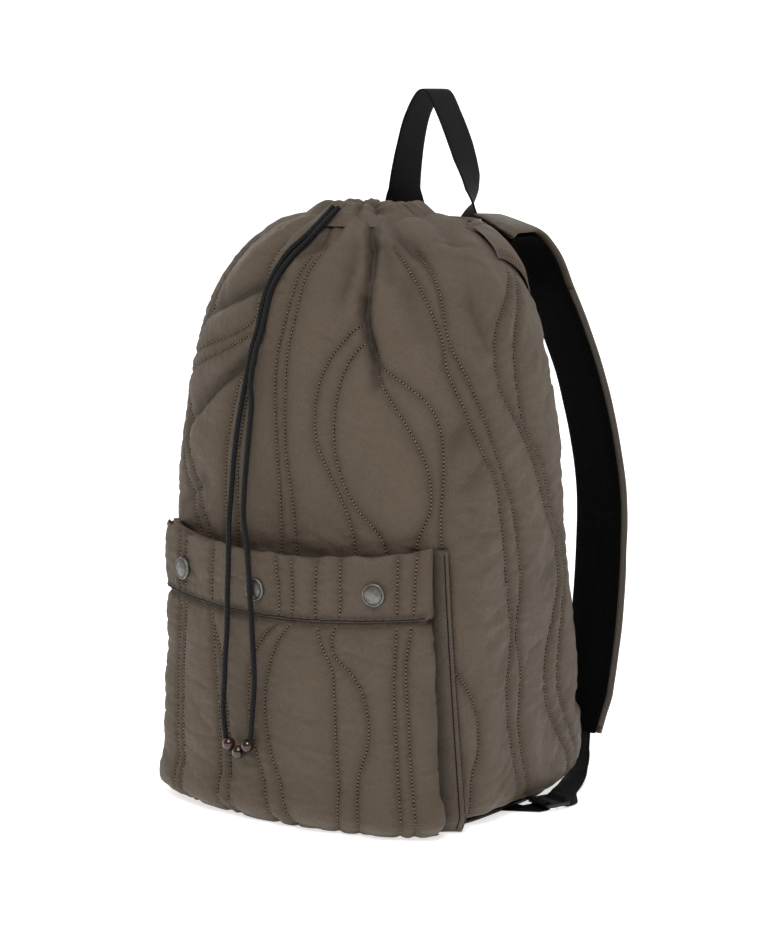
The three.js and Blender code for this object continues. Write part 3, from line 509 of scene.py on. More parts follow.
def metal_material(name):
    """Antique silver: brushed worn crowns and darker low parts."""
    made = Material(name)
    stain = made.noise(420.0, 4.0)
    colour = made.mix(made.ramp(stain, 0.3, 0.75), rgb(150, 147, 142), rgb(104, 102, 98))
    looks = {
        "Base Color": made.mix(made.attribute("crown"), rgb(42, 40, 38), colour),
        "Roughness": made.ramp(stain, -0.35, 1.5),
        "Metallic": 0.92,
    }
    return made.finish(looks, [(stain, 0.25, 0.0006), (made.noise(2400.0, 3.0), 0.35, 0.0002)])


def bead_material(name):
    """Brown moulded resin, glossy, with light cloudy streaks."""
    made = Material(name)
    streak = made.noise(260.0, 4.0)
    looks = {
        "Base Color": made.mix(made.ramp(streak, 0.35, 0.75), rgb(38, 19, 9), rgb(66, 36, 17)),
        "Roughness": made.ramp(streak, -0.1, 3.2),
        "Coat Weight": 0.35,
        "Coat Roughness": 0.08,
        "Transmission Weight": 0.15,
    }
    return made.finish(looks, [(made.noise(900.0), 0.12, 0.0003)])


WEAVE_PITCH = 0.0005
KNIT_COLUMN = 0.0034
BRAID_THREADS = 5
QUILTED = cloth_material("quilted_cloth", rgb(86, 74, 61), rgb(67, 57, 46), grooves=True)
PLAIN = cloth_material("plain_cloth", rgb(83, 72, 60), rgb(65, 56, 46), wrinkle=0.3)
BASE = cloth_material("base_cloth", rgb(44, 39, 35), rgb(30, 27, 25), sheen=0.1)
BINDING = webbing_material("binding", rgb(78, 71, 63), 0.0016)
WEBBING = webbing_material("black_webbing", rgb(7, 7, 7))
KNIT = knit_material("spacer_mesh", rgb(5, 5, 5))
CORD = cord_material("black_cord", rgb(5, 5, 5))
PLASTIC = plastic_material("black_plastic", rgb(16, 16, 17))
METAL = metal_material("snap_metal")
BEAD = bead_material("bead_plastic")
THREAD = webbing_material("sewing_thread", rgb(172, 140, 96), 0.0004)
# Dark pieces between the stitches: painted shade in the needle holes
HOLE_SHADE = webbing_material("needle_hole_shade", rgb(26, 21, 16), 0.0004)
BLACK_THREAD = webbing_material("black_thread", rgb(24, 20, 18), 0.0004)


# The drawcord's two strands from the slit down, and the turn through the beads
LEFT_STRAND = [
    (-4, -38, 434), (-8, -46.5, 425), (-14.5, -59, 412.5), (-21, -67.5, 403.5), (-27.5, -74.5, 390),
    (-30, -82, 377), (-30.5, -87.5, 364), (-31, -91.5, 350), (-34, -95, 334), (-37, -98.5, 311),
    (-39, -100.5, 296), (-42, -102, 277), (-44, -103.5, 256), (-43.5, -107, 234), (-40, -114, 215.5),
    (-34.5, -121.5, 199), (-32.5, -124.5, 186), (-33, -125, 166), (-33, -126, 138), (-34, -127, 118),
    (-34, -128, 101), (-34.5, -129, 82),
]
RIGHT_STRAND = [
    (1, -38, 433.5), (-3.5, -47.5, 424), (-11, -60.5, 409.5), (-17, -69.5, 399.5), (-23, -76, 388),
    (-25.5, -83, 375.5), (-26, -88, 362.5), (-26, -92.5, 349), (-29, -96.5, 333), (-31, -100, 311),
    (-29, -101.5, 299), (-30, -103, 278), (-32, -104, 256), (-31, -108, 234), (-25.5, -115.5, 217),
    (-17.5, -122, 200), (-14.5, -124.5, 187), (-13, -125, 171), (-11, -126, 153), (-9, -127, 133),
    (-7, -128, 104), (-8, -129, 82),
]
CORD_TURN = (-21, -129.5, 61, 11)


def cord_turn():
    x, y, z, radius = CORD_TURN
    angles = np.radians(np.arange(180, 361, 30))
    return [(x + radius * math.cos(a), y, z + radius * math.sin(a)) for a in angles]


cord_curve = Curve([*LEFT_STRAND, *cord_turn(), *RIGHT_STRAND[::-1]])

SECTIONS = np.array([
    [0.0, 0.84, 0.8, 0.84, 3.8, 4.5],
    [0.013, 0.92, 0.885, 0.925, 4.0, 5.0],
    [0.038, 0.963, 0.928, 0.983, 4.2, 5.5],
    [0.08, 0.981, 0.948, 1.0, 4.3, 5.8],
    [0.17, 0.985, 0.959, 0.95, 4.3, 5.5],
    [0.3, 0.993, 0.974, 0.857, 4.2, 5.5],
    [0.425, 1.0, 0.99, 0.765, 3.9, 5.0],
    [0.51, 1.0, 1.0, 0.714, 3.8, 4.8],
    [0.6, 1.0, 1.0, 0.681, 3.6, 4.5],
    [0.68, 0.985, 0.979, 0.672, 3.3, 3.9],
    [0.76, 0.959, 0.954, 0.676, 3.0, 3.3],
    [0.832, 0.914, 0.897, 0.681, 2.7, 2.9],
    [0.883, 0.854, 0.83, 0.681, 2.45, 2.7],
    [0.932, 0.754, 0.732, 0.672, 2.25, 2.5],
    [0.958, 0.672, 0.639, 0.639, 2.15, 2.4],
    [0.98, 0.552, 0.515, 0.555, 2.1, 2.3],
    [0.993, 0.425, 0.392, 0.42, 2.0, 2.1],
    [1.0, 0.27, 0.25, 0.26, 2.0, 2.0],
])


def skin(heights, arounds):
    """The smooth cloth at heights by arounds, with half the girth of each height."""
    row = [eased(SECTIONS[:, 0], SECTIONS[:, k], heights)[:, None] for k in range(1, 6)]
    angle = np.linspace(0, math.pi, 361)[None, :]
    side, ahead = np.sin(angle), np.cos(angle)
    depth = np.where(ahead > 0, FRONT_DEPTH * row[1], BACK_DEPTH * row[2])
    square = np.where(ahead > 0, row[3], row[4])
    wide, deep = np.abs(side / (BODY_HALF_WIDTH * row[0])), np.abs(ahead / depth)
    reach = (wide**square + deep**square) ** (-1 / square)
    x, y = reach * side, -reach * ahead
    run = np.cumsum(np.hypot(np.diff(x, axis=1, prepend=x[:, :1]), np.diff(y, axis=1, prepend=y[:, :1])), axis=1)
    points = np.zeros((len(heights), len(arounds), 3))
    for k, height in enumerate(heights):
        wanted = np.abs(arounds) * run[k, -1]
        points[k, :, 0] = np.interp(wanted, run[k], x[k]) * np.sign(arounds)
        points[k, :, 1] = np.interp(wanted, run[k], y[k])
        points[k, :, 2] = SHELL_BOTTOM + (BODY_HEIGHT - SHELL_BOTTOM) * height
    return points, run[:, -1]


BODY_COLUMNS = 400
BODY_ROWS = 216
arounds = -1 + 2 * np.arange(BODY_COLUMNS) / BODY_COLUMNS
trial = np.linspace(0, 1, 900)
trial_points = skin(trial, np.array([0.0, 0.25, 0.5, 0.75, 1.0]))[0]
steps = np.linalg.norm(np.diff(trial_points, axis=0), axis=-1).mean(axis=1)
run = np.concatenate([[0], np.cumsum(steps)])
heights = np.interp(np.linspace(0, run[-1], BODY_ROWS), run, trial)
smooth_points, half_girths = skin(heights, arounds)
smooth_skin = Surface(smooth_points, wrap=True)


def body_places(line):
    """Rows and columns of a line of heights and arounds."""
    line = dense(line)
    rows = np.interp(line[:, 0], heights, np.arange(BODY_ROWS))
    return np.column_stack([rows, (line[:, 1] + 1) / 2 * BODY_COLUMNS])


# Stitched lines of the bag, as height and place round it, chosen from the photograph
BODY_LINES = [
    [(0.955, -0.01), (0.9, -0.02), (0.83, -0.03), (0.77, -0.04), (0.7, -0.04), (0.62, -0.03), (0.5, -0.02),
     (0.25, -0.02), (0, -0.02)],
    [(0.955, 0.02), (0.9, 0), (0.84, -0.005), (0.77, -0.015), (0.7, -0.015), (0.62, -0.01), (0.5, 0.01),
     (0.25, 0.02), (0, 0.01)],
    [(0.83, 0.158), (0.81, 0.13), (0.77, 0.09), (0.73, 0.065), (0.68, 0.055), (0.63, 0.062), (0.58, 0.09),
     (0.53, 0.12), (0.47, 0.14), (0.25, 0.12), (0, 0.13)],
    [(0.8, 0.165), (0.77, 0.135), (0.73, 0.112), (0.68, 0.1), (0.63, 0.1), (0.58, 0.113), (0.53, 0.145),
     (0.47, 0.2), (0.25, 0.18), (0, 0.19)],
    [(0.79, 0.178), (0.77, 0.187), (0.73, 0.25), (0.7, 0.29), (0.66, 0.31), (0.6, 0.313), (0.5, 0.304),
     (0.4, 0.308), (0.33, 0.292), (0.29, 0.295), (0.24, 0.335), (0.19, 0.357), (0.13, 0.359), (0.08, 0.341),
     (0, 0.35)],
    [(0.75, 0.185), (0.7, 0.222), (0.66, 0.252), (0.62, 0.275), (0.57, 0.289), (0.53, 0.286), (0.48, 0.262),
     (0.35, 0.24), (0.25, 0.25), (0.16, 0.299), (0.11, 0.313), (0.05, 0.32), (0, 0.31)],
    [(0.955, 0.23), (0.92, 0.262), (0.87, 0.292), (0.81, 0.32), (0.75, 0.33), (0.69, 0.36), (0.63, 0.39),
     (0.57, 0.43), (0.51, 0.443), (0.41, 0.452), (0.3, 0.459), (0.22, 0.443), (0.14, 0.448), (0.08, 0.46),
     (0, 0.5)],
    [(0.955, 0.29), (0.92, 0.313), (0.88, 0.325), (0.8, 0.336), (0.74, 0.37), (0.68, 0.4), (0.62, 0.43),
     (0.57, 0.456), (0.52, 0.48), (0.4, 0.496), (0.3, 0.476), (0.25, 0.487), (0.15, 0.476), (0.08, 0.487),
     (0, 0.53)],
    [(0.91, 0.56), (0.87, 0.519), (0.82, 0.46), (0.77, 0.444), (0.72, 0.452), (0.66, 0.5), (0.58, 0.556),
     (0.5, 0.59), (0.42, 0.635), (0.33, 0.6), (0.26, 0.569), (0.18, 0.562), (0.11, 0.596), (0.05, 0.64),
     (0, 0.66)],
    [(0.9, 0.59), (0.86, 0.555), (0.79, 0.512), (0.73, 0.507), (0.66, 0.52), (0.58, 0.58), (0.5, 0.61),
     (0.42, 0.66), (0.33, 0.63), (0.2, 0.603), (0.12, 0.632), (0.05, 0.67), (0, 0.69)],
    [(0.955, -0.13), (0.88, -0.127), (0.83, -0.11), (0.8, -0.16), (0.77, -0.27), (0.74, -0.37), (0.68, -0.44),
     (0.45, -0.46), (0.25, -0.44), (0, -0.45)],
    [(0.8, -0.115), (0.77, -0.187), (0.74, -0.276), (0.71, -0.35), (0.64, -0.41), (0.45, -0.43), (0.25, -0.41),
     (0, -0.42)],
    [(0.75, -0.125), (0.66, -0.142), (0.57, -0.151), (0.46, -0.147), (0.25, -0.14), (0, -0.13)],
    [(0.76, -0.095), (0.66, -0.112), (0.57, -0.121), (0.46, -0.117), (0.25, -0.11), (0, -0.1)],
    [(0.71, -0.34), (0.62, -0.31), (0.55, -0.27), (0.5, -0.24), (0.45, -0.216), (0.25, -0.2), (0, -0.22)],
    [(0.68, -0.3), (0.62, -0.275), (0.55, -0.238), (0.5, -0.212), (0.45, -0.19), (0.25, -0.175), (0, -0.19)],
    [(0.955, -0.32), (0.9, -0.3), (0.85, -0.29), (0.8, -0.31), (0.77, -0.33)],
    [(0.955, -0.35), (0.9, -0.335), (0.85, -0.32), (0.8, -0.34), (0.765, -0.36)],
]
# Middles of the double lines on the left and the back, as places round the bag at six heights
BACK_HEIGHTS = (0.0, 0.25, 0.45, 0.65, 0.85, 0.95)
BACK_MIDDLES = [
    (-0.52, -0.55, -0.5, -0.57, -0.52, -0.5),
    (-0.66, -0.62, -0.68, -0.65, -0.66, -0.62),
    (-0.83, -0.79, -0.85, -0.8, -0.8, -0.8),
    (0.98, 0.95, 1.0, 0.96, 1.0, 1.0),
    (0.8, 0.84, 0.78, 0.82, 0.8, 0.8),
]
for number, middles in enumerate(BACK_MIDDLES):
    for side in (-1, 1):
        wander = [side * (0.017 + 0.007 * math.sin(3 * k + number)) for k in range(6)]
        BODY_LINES.append([(h, m + w) for h, m, w in zip(BACK_HEIGHTS, middles, wander)])
body_lines = [body_places(line) for line in BODY_LINES]

# Deep folds, as start and end places (around, height), depth and width in shares of the wall, and how sharp
FOLDS = [
    (0.168, 1, 0.163, 0.87, 2.1, 1.0, 0.85), (0.163, 0.87, 0.185, 0.73, 1.7, 1.0, 0.9),
    (-0.1, 0.895, -0.27, 0.83, 1.5, 1.2, 0.6), (-0.12, 0.765, -0.28, 0.64, 1.5, 1.2, 0.65),
    (0.02, 0.99, -0.1, 0.9, 1.3, 1.6, 0.4), (0.41, 0.985, 0.4, 0.93, 0.6, 1.4, 0.3),
    (-0.5, 0.98, -0.47, 0.9, 0.8, 1.6, 0.3), (-0.78, 0.2, -0.55, 0.12, 0.6, 2, 0.3),
    (0.8, 0.2, 0.6, 0.11, 0.6, 2, 0.3), (0.62, 0.42, 0.48, 0.36, 0.5, 1.8, 0.4),
    (0.33, 0.63, 0.39, 0.7, 0.35, 1.2, 0.4), (0.35, 0.57, 0.42, 0.63, 0.3, 1.2, 0.4),
    (0.2, 0.95, 0.235, 0.85, 0.5, 1.2, 0.4), (0.12, 0.95, 0.09, 0.8, 0.5, 1.3, 0.4),
    (0.24, 0.985, 0.3, 0.93, 0.9, 1.1, 0.5), (0.25, 0.9, 0.33, 0.74, 0.45, 1.6, 0.3),
    (0.4, 0.86, 0.43, 0.74, 0.5, 1.2, 0.4), (-0.2, 0.55, -0.32, 0.46, 0.5, 1.3, 0.4),
]


DEEPEST_FOLD = 15
SOFT_BUMPS = 34
PUFF_SPREAD = 7.5
GROOVE_DEPTH = 0.9
GROOVE_WIDTH = 1.9
PUCKER_DEPTH = 0.75
PUCKER_PITCH = 7.2
# Turns a place so that noise read there gives wrinkles that run across and slightly down
WRINKLE_TILT = np.array([[0.5, 0, 0.35], [0, 0.5, 0.1], [0.1, 0, 1.9]])


def fold_depth():
    """How far the deep folds and the gathers draw the cloth in, at each point of the bag's grid, and how much
    painted shade the folds get.
    """
    high, wide = heights[:, None], arounds[None, :]
    girth = half_girths[:, None]
    depth = np.zeros((len(heights), len(arounds)))
    fold_shade = np.zeros_like(depth)
    bend = 0.006 * np.sin(high * 38 + 1)
    for from_around, from_height, to_around, to_height, deep, width, sharp in FOLDS:
        across, up = (to_around - from_around) * girth, (to_height - from_height) * BODY_HEIGHT
        here, rise = (wide + bend - from_around) * girth, (high - from_height) * BODY_HEIGHT
        share = np.clip((here * across + rise * up) / (across**2 + up**2), 0, 1)
        away = np.hypot(here - share * across, rise - share * up) / (width * BODY_WALL)
        fading = 1 - 0.55 * share**3
        if sharp < 0.5:
            fading = np.sin(np.clip(share * 1.1 + 0.25, 0, 1) * math.pi) ** 0.5
        depth += deep * BODY_WALL * fading * ((1 - sharp) * bell(away) + sharp * np.exp(-away / 0.5))
        # painted shade along each deep fold
        fold_shade = np.maximum(fold_shade, fading * bell(away / 0.78) * np.minimum(1, 1.15 * sharp))
    wave = 0.5 - 0.5 * np.cos(wide * math.pi * 9 + 2.4 * np.sin(wide * 6 + 1))
    finer = np.abs(np.sin(wide * math.pi * 11 + 2.5 * np.sin(wide * 7) + 0.6)) ** 1.5
    gather = 2.6 * wave + 2.4 * (1 - finer) * smoothstep(high, 0.93, 0.98)
    gather = gather * smoothstep(high, 0.86, 0.95) * (1 - 0.75 * smoothstep(high, 0.985, 1))
    return depth * (1 - 0.7 * smoothstep(high, 0.95, 0.985)) + gather, fold_shade


def quilt(points, seams, size, seed):
    """Puffs between the stitched lines, puckers at them and wrinkles, with the masks for the painted shade at the
    seams and the painted highlight on the puffs.
    """
    away, run = seams.near(points)
    soft = roughness(points, SOFT_BUMPS, seed)
    puff = size * (1 - np.exp(-away / PUFF_SPREAD)) - 0.55 * size
    puff += 1.1 * soft * (1 - np.exp(-away / 9))
    uneven = 1 + 0.5 * roughness(points, 14, seed + 5)
    waves = np.sin(2 * math.pi * run / PUCKER_PITCH + 1.5 * soft)
    pucker = PUCKER_DEPTH * uneven * waves * np.exp(-away / 6) * (1 - np.exp(-away / 1.5))
    tilted = points @ WRINKLE_TILT
    wrinkle = -bell(roughness(tilted, 30, seed + 9) / 0.12) * (1 - np.exp(-away / 6))
    fine = 0.3 * roughness(tilted, 9, seed + 3)
    lift = puff - GROOVE_DEPTH * bell(away / GROOVE_WIDTH) + pucker + wrinkle + fine
    # groove is painted shade near the seams, puff is painted highlight on the raised puffs
    return lift, {"groove": 0.55 * np.exp(-away / 3.2), "puff": np.clip(puff / size + 0.35, 0, 1)}


def press_under_cord(points, normals, reached):
    """Lays the cloth just under the drawcord wherever it would cover it."""
    tree = search_tree(cord_curve.line)
    for row, column in zip(*np.nonzero(reached)):
        point, normal = points[row, column], normals[row, column]
        away = point - np.array(tree.find(point)[0])
        rise = away @ normal
        beside = np.linalg.norm(away - rise * normal)
        limit = -CORD_DIAMETER / 2 - CLEARANCE + beside**2 / 10
        if beside < 7 and rise > limit:
            points[row, column] = point - (rise - limit) * normal


def finished_body():
    seams = Seams(smooth_skin, body_lines)
    lift, values = quilt(smooth_points, seams, 2.9, 3.1)
    high, wide = heights[:, None], np.abs(arounds)[None, :]
    from_back = 1 - wide
    low = yoke_low(from_back)
    under_yoke = smoothstep(YOKE_HALF_REACH + 0.05 - from_back, -0.03, 0.03)
    under_yoke = under_yoke * smoothstep(high, low - 0.04, low - 0.01)
    under_yoke *= 1 - smoothstep(high, YOKE_TOP, YOKE_TOP + 0.01)
    # slanted ridges of loose cloth on the sides
    slant = high * BODY_HEIGHT - wide * half_girths[:, None] * 0.55 + 13 * roughness(smooth_points, 38, 8.0)
    ridges = 1.9 * np.abs(np.sin(slant * math.pi / 19)) ** 1.5 - 0.8
    ridges *= np.clip(0.45 + 0.9 * roughness(smooth_points, 45, 12.0), 0, 1)
    ridges *= smoothstep(wide, 0.3, 0.42) * (1 - smoothstep(high, 0.84, 0.92))
    ridges *= 1 - np.exp(-seams.near(smooth_points)[0] / 5)
    behind_pocket = (1 - smoothstep(high, 0.44, 0.47)) * (1 - smoothstep(wide, 0.29, 0.325))
    lift = (lift + ridges) * (1 - under_yoke) * (1 - behind_pocket)
    lift -= 0.6 * under_yoke + (1 + 2.5 * smoothstep(wide, 0.2, 0.26)) * behind_pocket
    lift *= smoothstep(high, -0.01, 0.03) * (1 - 0.8 * smoothstep(high, 0.985, 1))
    drawn, fold_shade = fold_depth()
    lift -= np.minimum(drawn, DEEPEST_FOLD)
    # the painted shade of the deep folds joins the painted shade at the seams
    values["groove"] = np.maximum(values["groove"], fold_shade)
    points = smooth_points + smooth_skin.normals * lift[..., None]
    points[..., 2] = np.maximum(points[..., 2], SHELL_BOTTOM)
    press_under_cord(points, smooth_skin.normals, (high > 0.4) & (wide < 0.35))
    return points, values


def yoke_low(from_back):
    """The height of the yoke's lower edge, which rises towards its ends."""
    return lerp(0.8, 0.925, smoothstep(from_back / YOKE_HALF_REACH, 0.35, 1))


LINING_HEIGHTS = np.array([0.985, 0.97, 0.94, 0.9, 0.84, 0.75, 0.65, 0.5, 0.35, 0.2, 0.1, 0.04, 0.012])


def body_lining(rim):
    """The inside of the bag, from the rim down to its floor, lower where the outside is folded deep."""
    smooth = skin(LINING_HEIGHTS, arounds)[0]
    normals = grid_normals(smooth[::-1], True)[::-1]
    folded = smoothstep(LINING_HEIGHTS, 0.5, 0.68) * (1 - 0.6 * smoothstep(LINING_HEIGHTS, 0.95, 0.985))
    points = smooth - normals * (BODY_WALL + CLEARANCE + 17 * folded)[:, None, None]
    points[..., 2] = np.minimum(points[..., 2], rim + 0.5)
    return np.concatenate([points, points[-1:] * [0.05, 0.05, 1]])


body_points, body_values = finished_body()
body_surface = Surface(body_points, wrap=True)
lining = body_lining(body_points[-1, :, 2].min())
unmarked = np.zeros(lining.shape[:2])
body = grid_mesh(
    "bag_shell_cloth", np.concatenate([body_points, lining]), QUILTED, wrap=True, caps=True,
    values={key: np.concatenate([value, unmarked]) for key, value in body_values.items()},
)
add(body, "bag_shell")
for line in body_lines:
    stitch("body", body_surface, line)

# Rings of the base, as distance from the bag's edge and height
BASE_RINGS = [
    (-70, 0.6), (-40, 0.3), (-8, 0.05), (0.8, 0), (1.8, 0.7), (2, 1.6), (1.6, 2.5), (0.6, 2.95), (-8, 3),
]
base_edge = skin(np.array([0.0]), arounds)[0][0] * [1, 1, 0]
base_points = np.stack([base_edge + unit(base_edge) * out + [0, 0, z] for out, z in BASE_RINGS])
add(grid_mesh("base_panel_cloth", base_points, BASE, wrap=True, caps=True), "base_panel")

# The collar's path from the dome, over the gathered rim and down into the mouth: out, up
COLLAR_PATH = [
    (22, -10), (16, -5.5), (10, -1.6), (5, 1.2), (1, 3.4), (-3, 4.8), (-7, 3.8), (-9.5, 0.5), (-9, -4),
    (-8, -9), (-6, -16),
]
COLLAR_STEPS = 560
COLLAR_ROWS = 40
MOUTH_REACH = 38
MOUTH_FRONT = 25
MOUTH_BACK = 30
PINCH_ANGLE = 0.62


def collar_points():
    angle = np.linspace(0, 2 * math.pi, COLLAR_STEPS, endpoint=False)[:, None]
    pleat = np.abs(np.sin(6 * angle + 1.6 * np.sin(2 * angle) + 0.75)) ** 0.7
    small = np.sin(27 * angle + 4 * np.sin(5 * angle))
    pinch = bell((angle - PINCH_ANGLE) / 0.16)
    lobe = 0.5 + 0.5 * np.cos(3 * angle + 1.2)
    depth = np.where(np.cos(angle) > 0, MOUTH_FRONT, MOUTH_BACK)
    middle = np.stack([MOUTH_REACH * np.sin(angle), -depth * np.cos(angle), 0 * angle], axis=-1)
    share = np.linspace(0, 1, COLLAR_ROWS)
    profile = Curve([(out, up, 0) for out, up in COLLAR_PATH]).at(share)
    rim = bell((share - 0.45) / 0.2)
    out = profile[:, 0] + (4.6 * (pleat - 0.6) + 0.6 * small - 6.5 * pinch) * rim
    out -= 1.32 * (1 - pleat) * smoothstep(share, 0, 0.4)
    up = profile[:, 1] + (2.6 * (pleat - 0.7) + 0.4 * small + 2.4 * lobe - 3.4 * pinch) * rim
    up += 2.2 * (pleat - 0.5) * bell((share - 0.2) / 0.12)
    rise = np.stack([0 * up, 0 * up, BODY_HEIGHT + CLEARANCE + up], axis=-1)
    return middle + unit(middle) * out[..., None] + rise


collar = collar_points()
collar = np.concatenate([collar, collar[:1]])
# an even touch of painted shade and painted highlight over the collar
collar_values = {"groove": np.full(collar.shape[:2], 0.1), "puff": np.full(collar.shape[:2], 0.4)}
collar_piece = grid_mesh("collar_ruffle", collar, QUILTED, values=collar_values, flip=True)
add(collar_piece, "collar_channel")


def pocket_top(across):
    return POCKET_HEIGHT - POCKET_DIP * (1 - across**2)


def pocket_front(across, up):
    return -(FRONT_DEPTH + POCKET_DEPTH + POCKET_BELLY * (1 - up) - POCKET_CROWN * np.abs(across) ** 2.2)


SEAM = 1 - BAND_HEIGHT / POCKET_HEIGHT
BAND_BOTTOM = SEAM + 0.002
BAND_REACH = 0.996
CORNER = 8
FRONT_COLUMNS = 150
SIDE_COLUMNS = 26
POCKET_ROWS = 118
# The side of the pocket in plan: its corner, inward fold, pinched seam and back end, at the top and bottom
GUSSET_TOP = [
    (118, -89), (116, -87.5), (110.5, -85.5), (110.5, -83), (115, -81.5), (122.3, -79.5), (124.3, -77.5),
    (123, -75), (112, -66),
]
GUSSET_BOTTOM = [
    (122, -84), (121, -81), (115.5, -78), (116, -75), (122, -70.5), (129.8, -66.3), (131.8, -64), (130, -61),
    (118, -51),
]


def corner_round(across, half, radius):
    """How far a front set back by a round corner lies behind its flat, at these places across it."""
    corner = np.maximum(np.abs(across) - 1 + radius / half, 0) * half
    return radius - np.sqrt(np.maximum(radius**2 - corner**2, 0))


def pocket_points(ups, inner=0.0):
    """The pocket from side to side, at these shares of its height, or its lining that far inside."""
    across = np.linspace(-1, 1, FRONT_COLUMNS)[None, :]
    up = ups[:, None]
    z_corner = lerp(POCKET_FLOOR + inner, POCKET_HEIGHT, up)
    inset = 10 * (1 - smoothstep(z_corner, POCKET_FLOOR - 2, POCKET_FLOOR + 14)) + inner
    half = POCKET_HALF_WIDTH - inset
    set_back = smoothstep(up, SEAM - 0.012, SEAM + 0.002) * (BAND_THICK + CLEARANCE + 0.5)
    spread = (7.0 * (1 - up) ** 3 - 2.5) * np.abs(across) ** 8
    y = pocket_front(across, up) + inset * 0.8 + inner * 0.2 + set_back
    y = y + corner_round(across, half, max(CORNER - inner, 2)) + 1.2 * np.maximum(spread, 0)
    z = lerp(POCKET_FLOOR + inner, pocket_top(across), up)
    front = np.stack([across * half + np.sign(across) * spread, y, z], axis=-1)
    share = np.linspace(0, 1, SIDE_COLUMNS + 1)[1:]
    top, bottom = (Curve([(a, b, 0) for a, b in plan]).at(share) for plan in (GUSSET_TOP, GUSSET_BOTTOM))
    low = (1 - up) ** 1.2
    sides = []
    for sign, edge in ((-1, front[:, 0]), (1, front[:, -1])):
        wander = 0.8 * np.sin(z_corner / 17 + 2 * sign) + 0.5 * np.sin(z_corner / 6.3)
        x = lerp(top[:, 0], bottom[:, 0], low) - inset * 0.8 + wander * np.sin(np.clip(share * 2, 0, 1) * math.pi)
        back = lerp(top[:, 1], bottom[:, 1], low) + inset * 0.5
        sides.append(np.stack([sign * x, back, np.broadcast_to(edge[:, None, 2], x.shape)], axis=-1))
    return np.concatenate([sides[0][:, ::-1], front, sides[1]], axis=1)


pocket_ups = np.linspace(0, 1, POCKET_ROWS)
pocket_smooth = pocket_points(pocket_ups)
pocket_skin = Surface(pocket_smooth)


def pocket_places(line):
    line = dense(line)
    columns = SIDE_COLUMNS + (line[:, 1] + 1) / 2 * (FRONT_COLUMNS - 1)
    return np.column_stack([line[:, 0] * (POCKET_ROWS - 1), columns])


# Stitched lines of the pocket, as share of its height and place across it
POCKET_LINES = [
    [(1, -0.8), (0.7, -0.81), (0.5, -0.83), (0.3, -0.83), (0, -0.79)],
    [(1, -0.74), (0.7, -0.75), (0.5, -0.77), (0.3, -0.77), (0, -0.72)],
    [(1, -0.47), (0.75, -0.48), (0.55, -0.45), (0.3, -0.4), (0, -0.38)],
    [(0.74, -0.5), (0.66, -0.44), (0.58, -0.39), (0.45, -0.36), (0.3, -0.32), (0, -0.29)],
    [(1, 0.03), (0.86, 0.07), (0.77, 0.06), (0.7, -0.05), (0.6, -0.14), (0.45, -0.17), (0.3, -0.12),
     (0.15, -0.03), (0, 0.05)],
    [(1, 0.15), (0.86, 0.17), (0.77, 0.15), (0.68, 0.05), (0.6, 0), (0.45, -0.04), (0.3, 0), (0.15, 0.1),
     (0, 0.2)],
    [(1, 0.33), (0.8, 0.33), (0.7, 0.36), (0.6, 0.44), (0.5, 0.46), (0.3, 0.48), (0.15, 0.5), (0, 0.5)],
    [(1, 0.49), (0.8, 0.49), (0.72, 0.44), (0.66, 0.45), (0.58, 0.58), (0.48, 0.66), (0.35, 0.68),
     (0.2, 0.62), (0, 0.64)],
    [(1, 0.84), (0.75, 0.84), (0.55, 0.83), (0.3, 0.85), (0, 0.88)],
    [(1, 0.95), (0.75, 0.93), (0.62, 0.9), (0.4, 0.92), (0, 0.95)],
]
pocket_lines = [pocket_places(line) for line in POCKET_LINES]
RIDGE = 17
LEFT_RIDGE = SIDE_COLUMNS - 1 - RIDGE
RIGHT_RIDGE = SIDE_COLUMNS + FRONT_COLUMNS + RIDGE
gusset_rows = np.linspace(0, POCKET_ROWS - 1, 60)
gusset_lines = [
    np.column_stack([gusset_rows, np.full(60, column)])
    for column in (LEFT_RIDGE + 1.6, LEFT_RIDGE + 4.2, RIGHT_RIDGE - 1.6, RIGHT_RIDGE - 4.2)
]
whole_width = np.linspace(0, FRONT_COLUMNS - 1, 90) + SIDE_COLUMNS
seam_line = np.column_stack([np.full(90, SEAM * (POCKET_ROWS - 1) - 1.6), whole_width])


def finished_pocket():
    seams = Seams(pocket_skin, [*pocket_lines, *gusset_lines, seam_line])
    lift, values = quilt(pocket_smooth, seams, 2.7, 7.7)
    columns = np.arange(pocket_smooth.shape[1])[None, :]
    right_end = SIDE_COLUMNS + FRONT_COLUMNS
    on_front = smoothstep(columns, SIDE_COLUMNS - 8, SIDE_COLUMNS)
    on_front = on_front * (1 - smoothstep(columns, right_end, right_end + 8))
    ups = pocket_ups[:, None]
    below = 1 - smoothstep(ups, SEAM - 0.014, SEAM)
    lift = lift * lerp(0.42, 1, on_front) * below - 0.8 * (1 - below)
    bulge = 3.0 * np.sin(np.clip(ups / 0.16, 0, 1) * math.pi) * on_front
    lift = lift + bulge * (1 + 0.5 * roughness(pocket_smooth, 30, 2.2))
    points = pocket_smooth + pocket_skin.normals * lift[..., None]
    points[..., 2] = np.maximum(points[..., 2], POCKET_FLOOR)
    # painted shade in the folds at the pocket's sides, with less painted shade at its side seams
    fold = bell((columns - (SIDE_COLUMNS - 7.5)) / 4.5) + bell((columns - (right_end + 6.5)) / 4.5)
    values["groove"] = np.maximum(values["groove"] * lerp(0.7, 1, on_front), 0.8 * fold)
    return points, values


def back_edge(row, z):
    """A row of the pocket laid back to the bag."""
    return np.stack([row[..., 0], np.maximum(row[..., 1], -74), z + 0 * row[..., 2]], axis=-1)


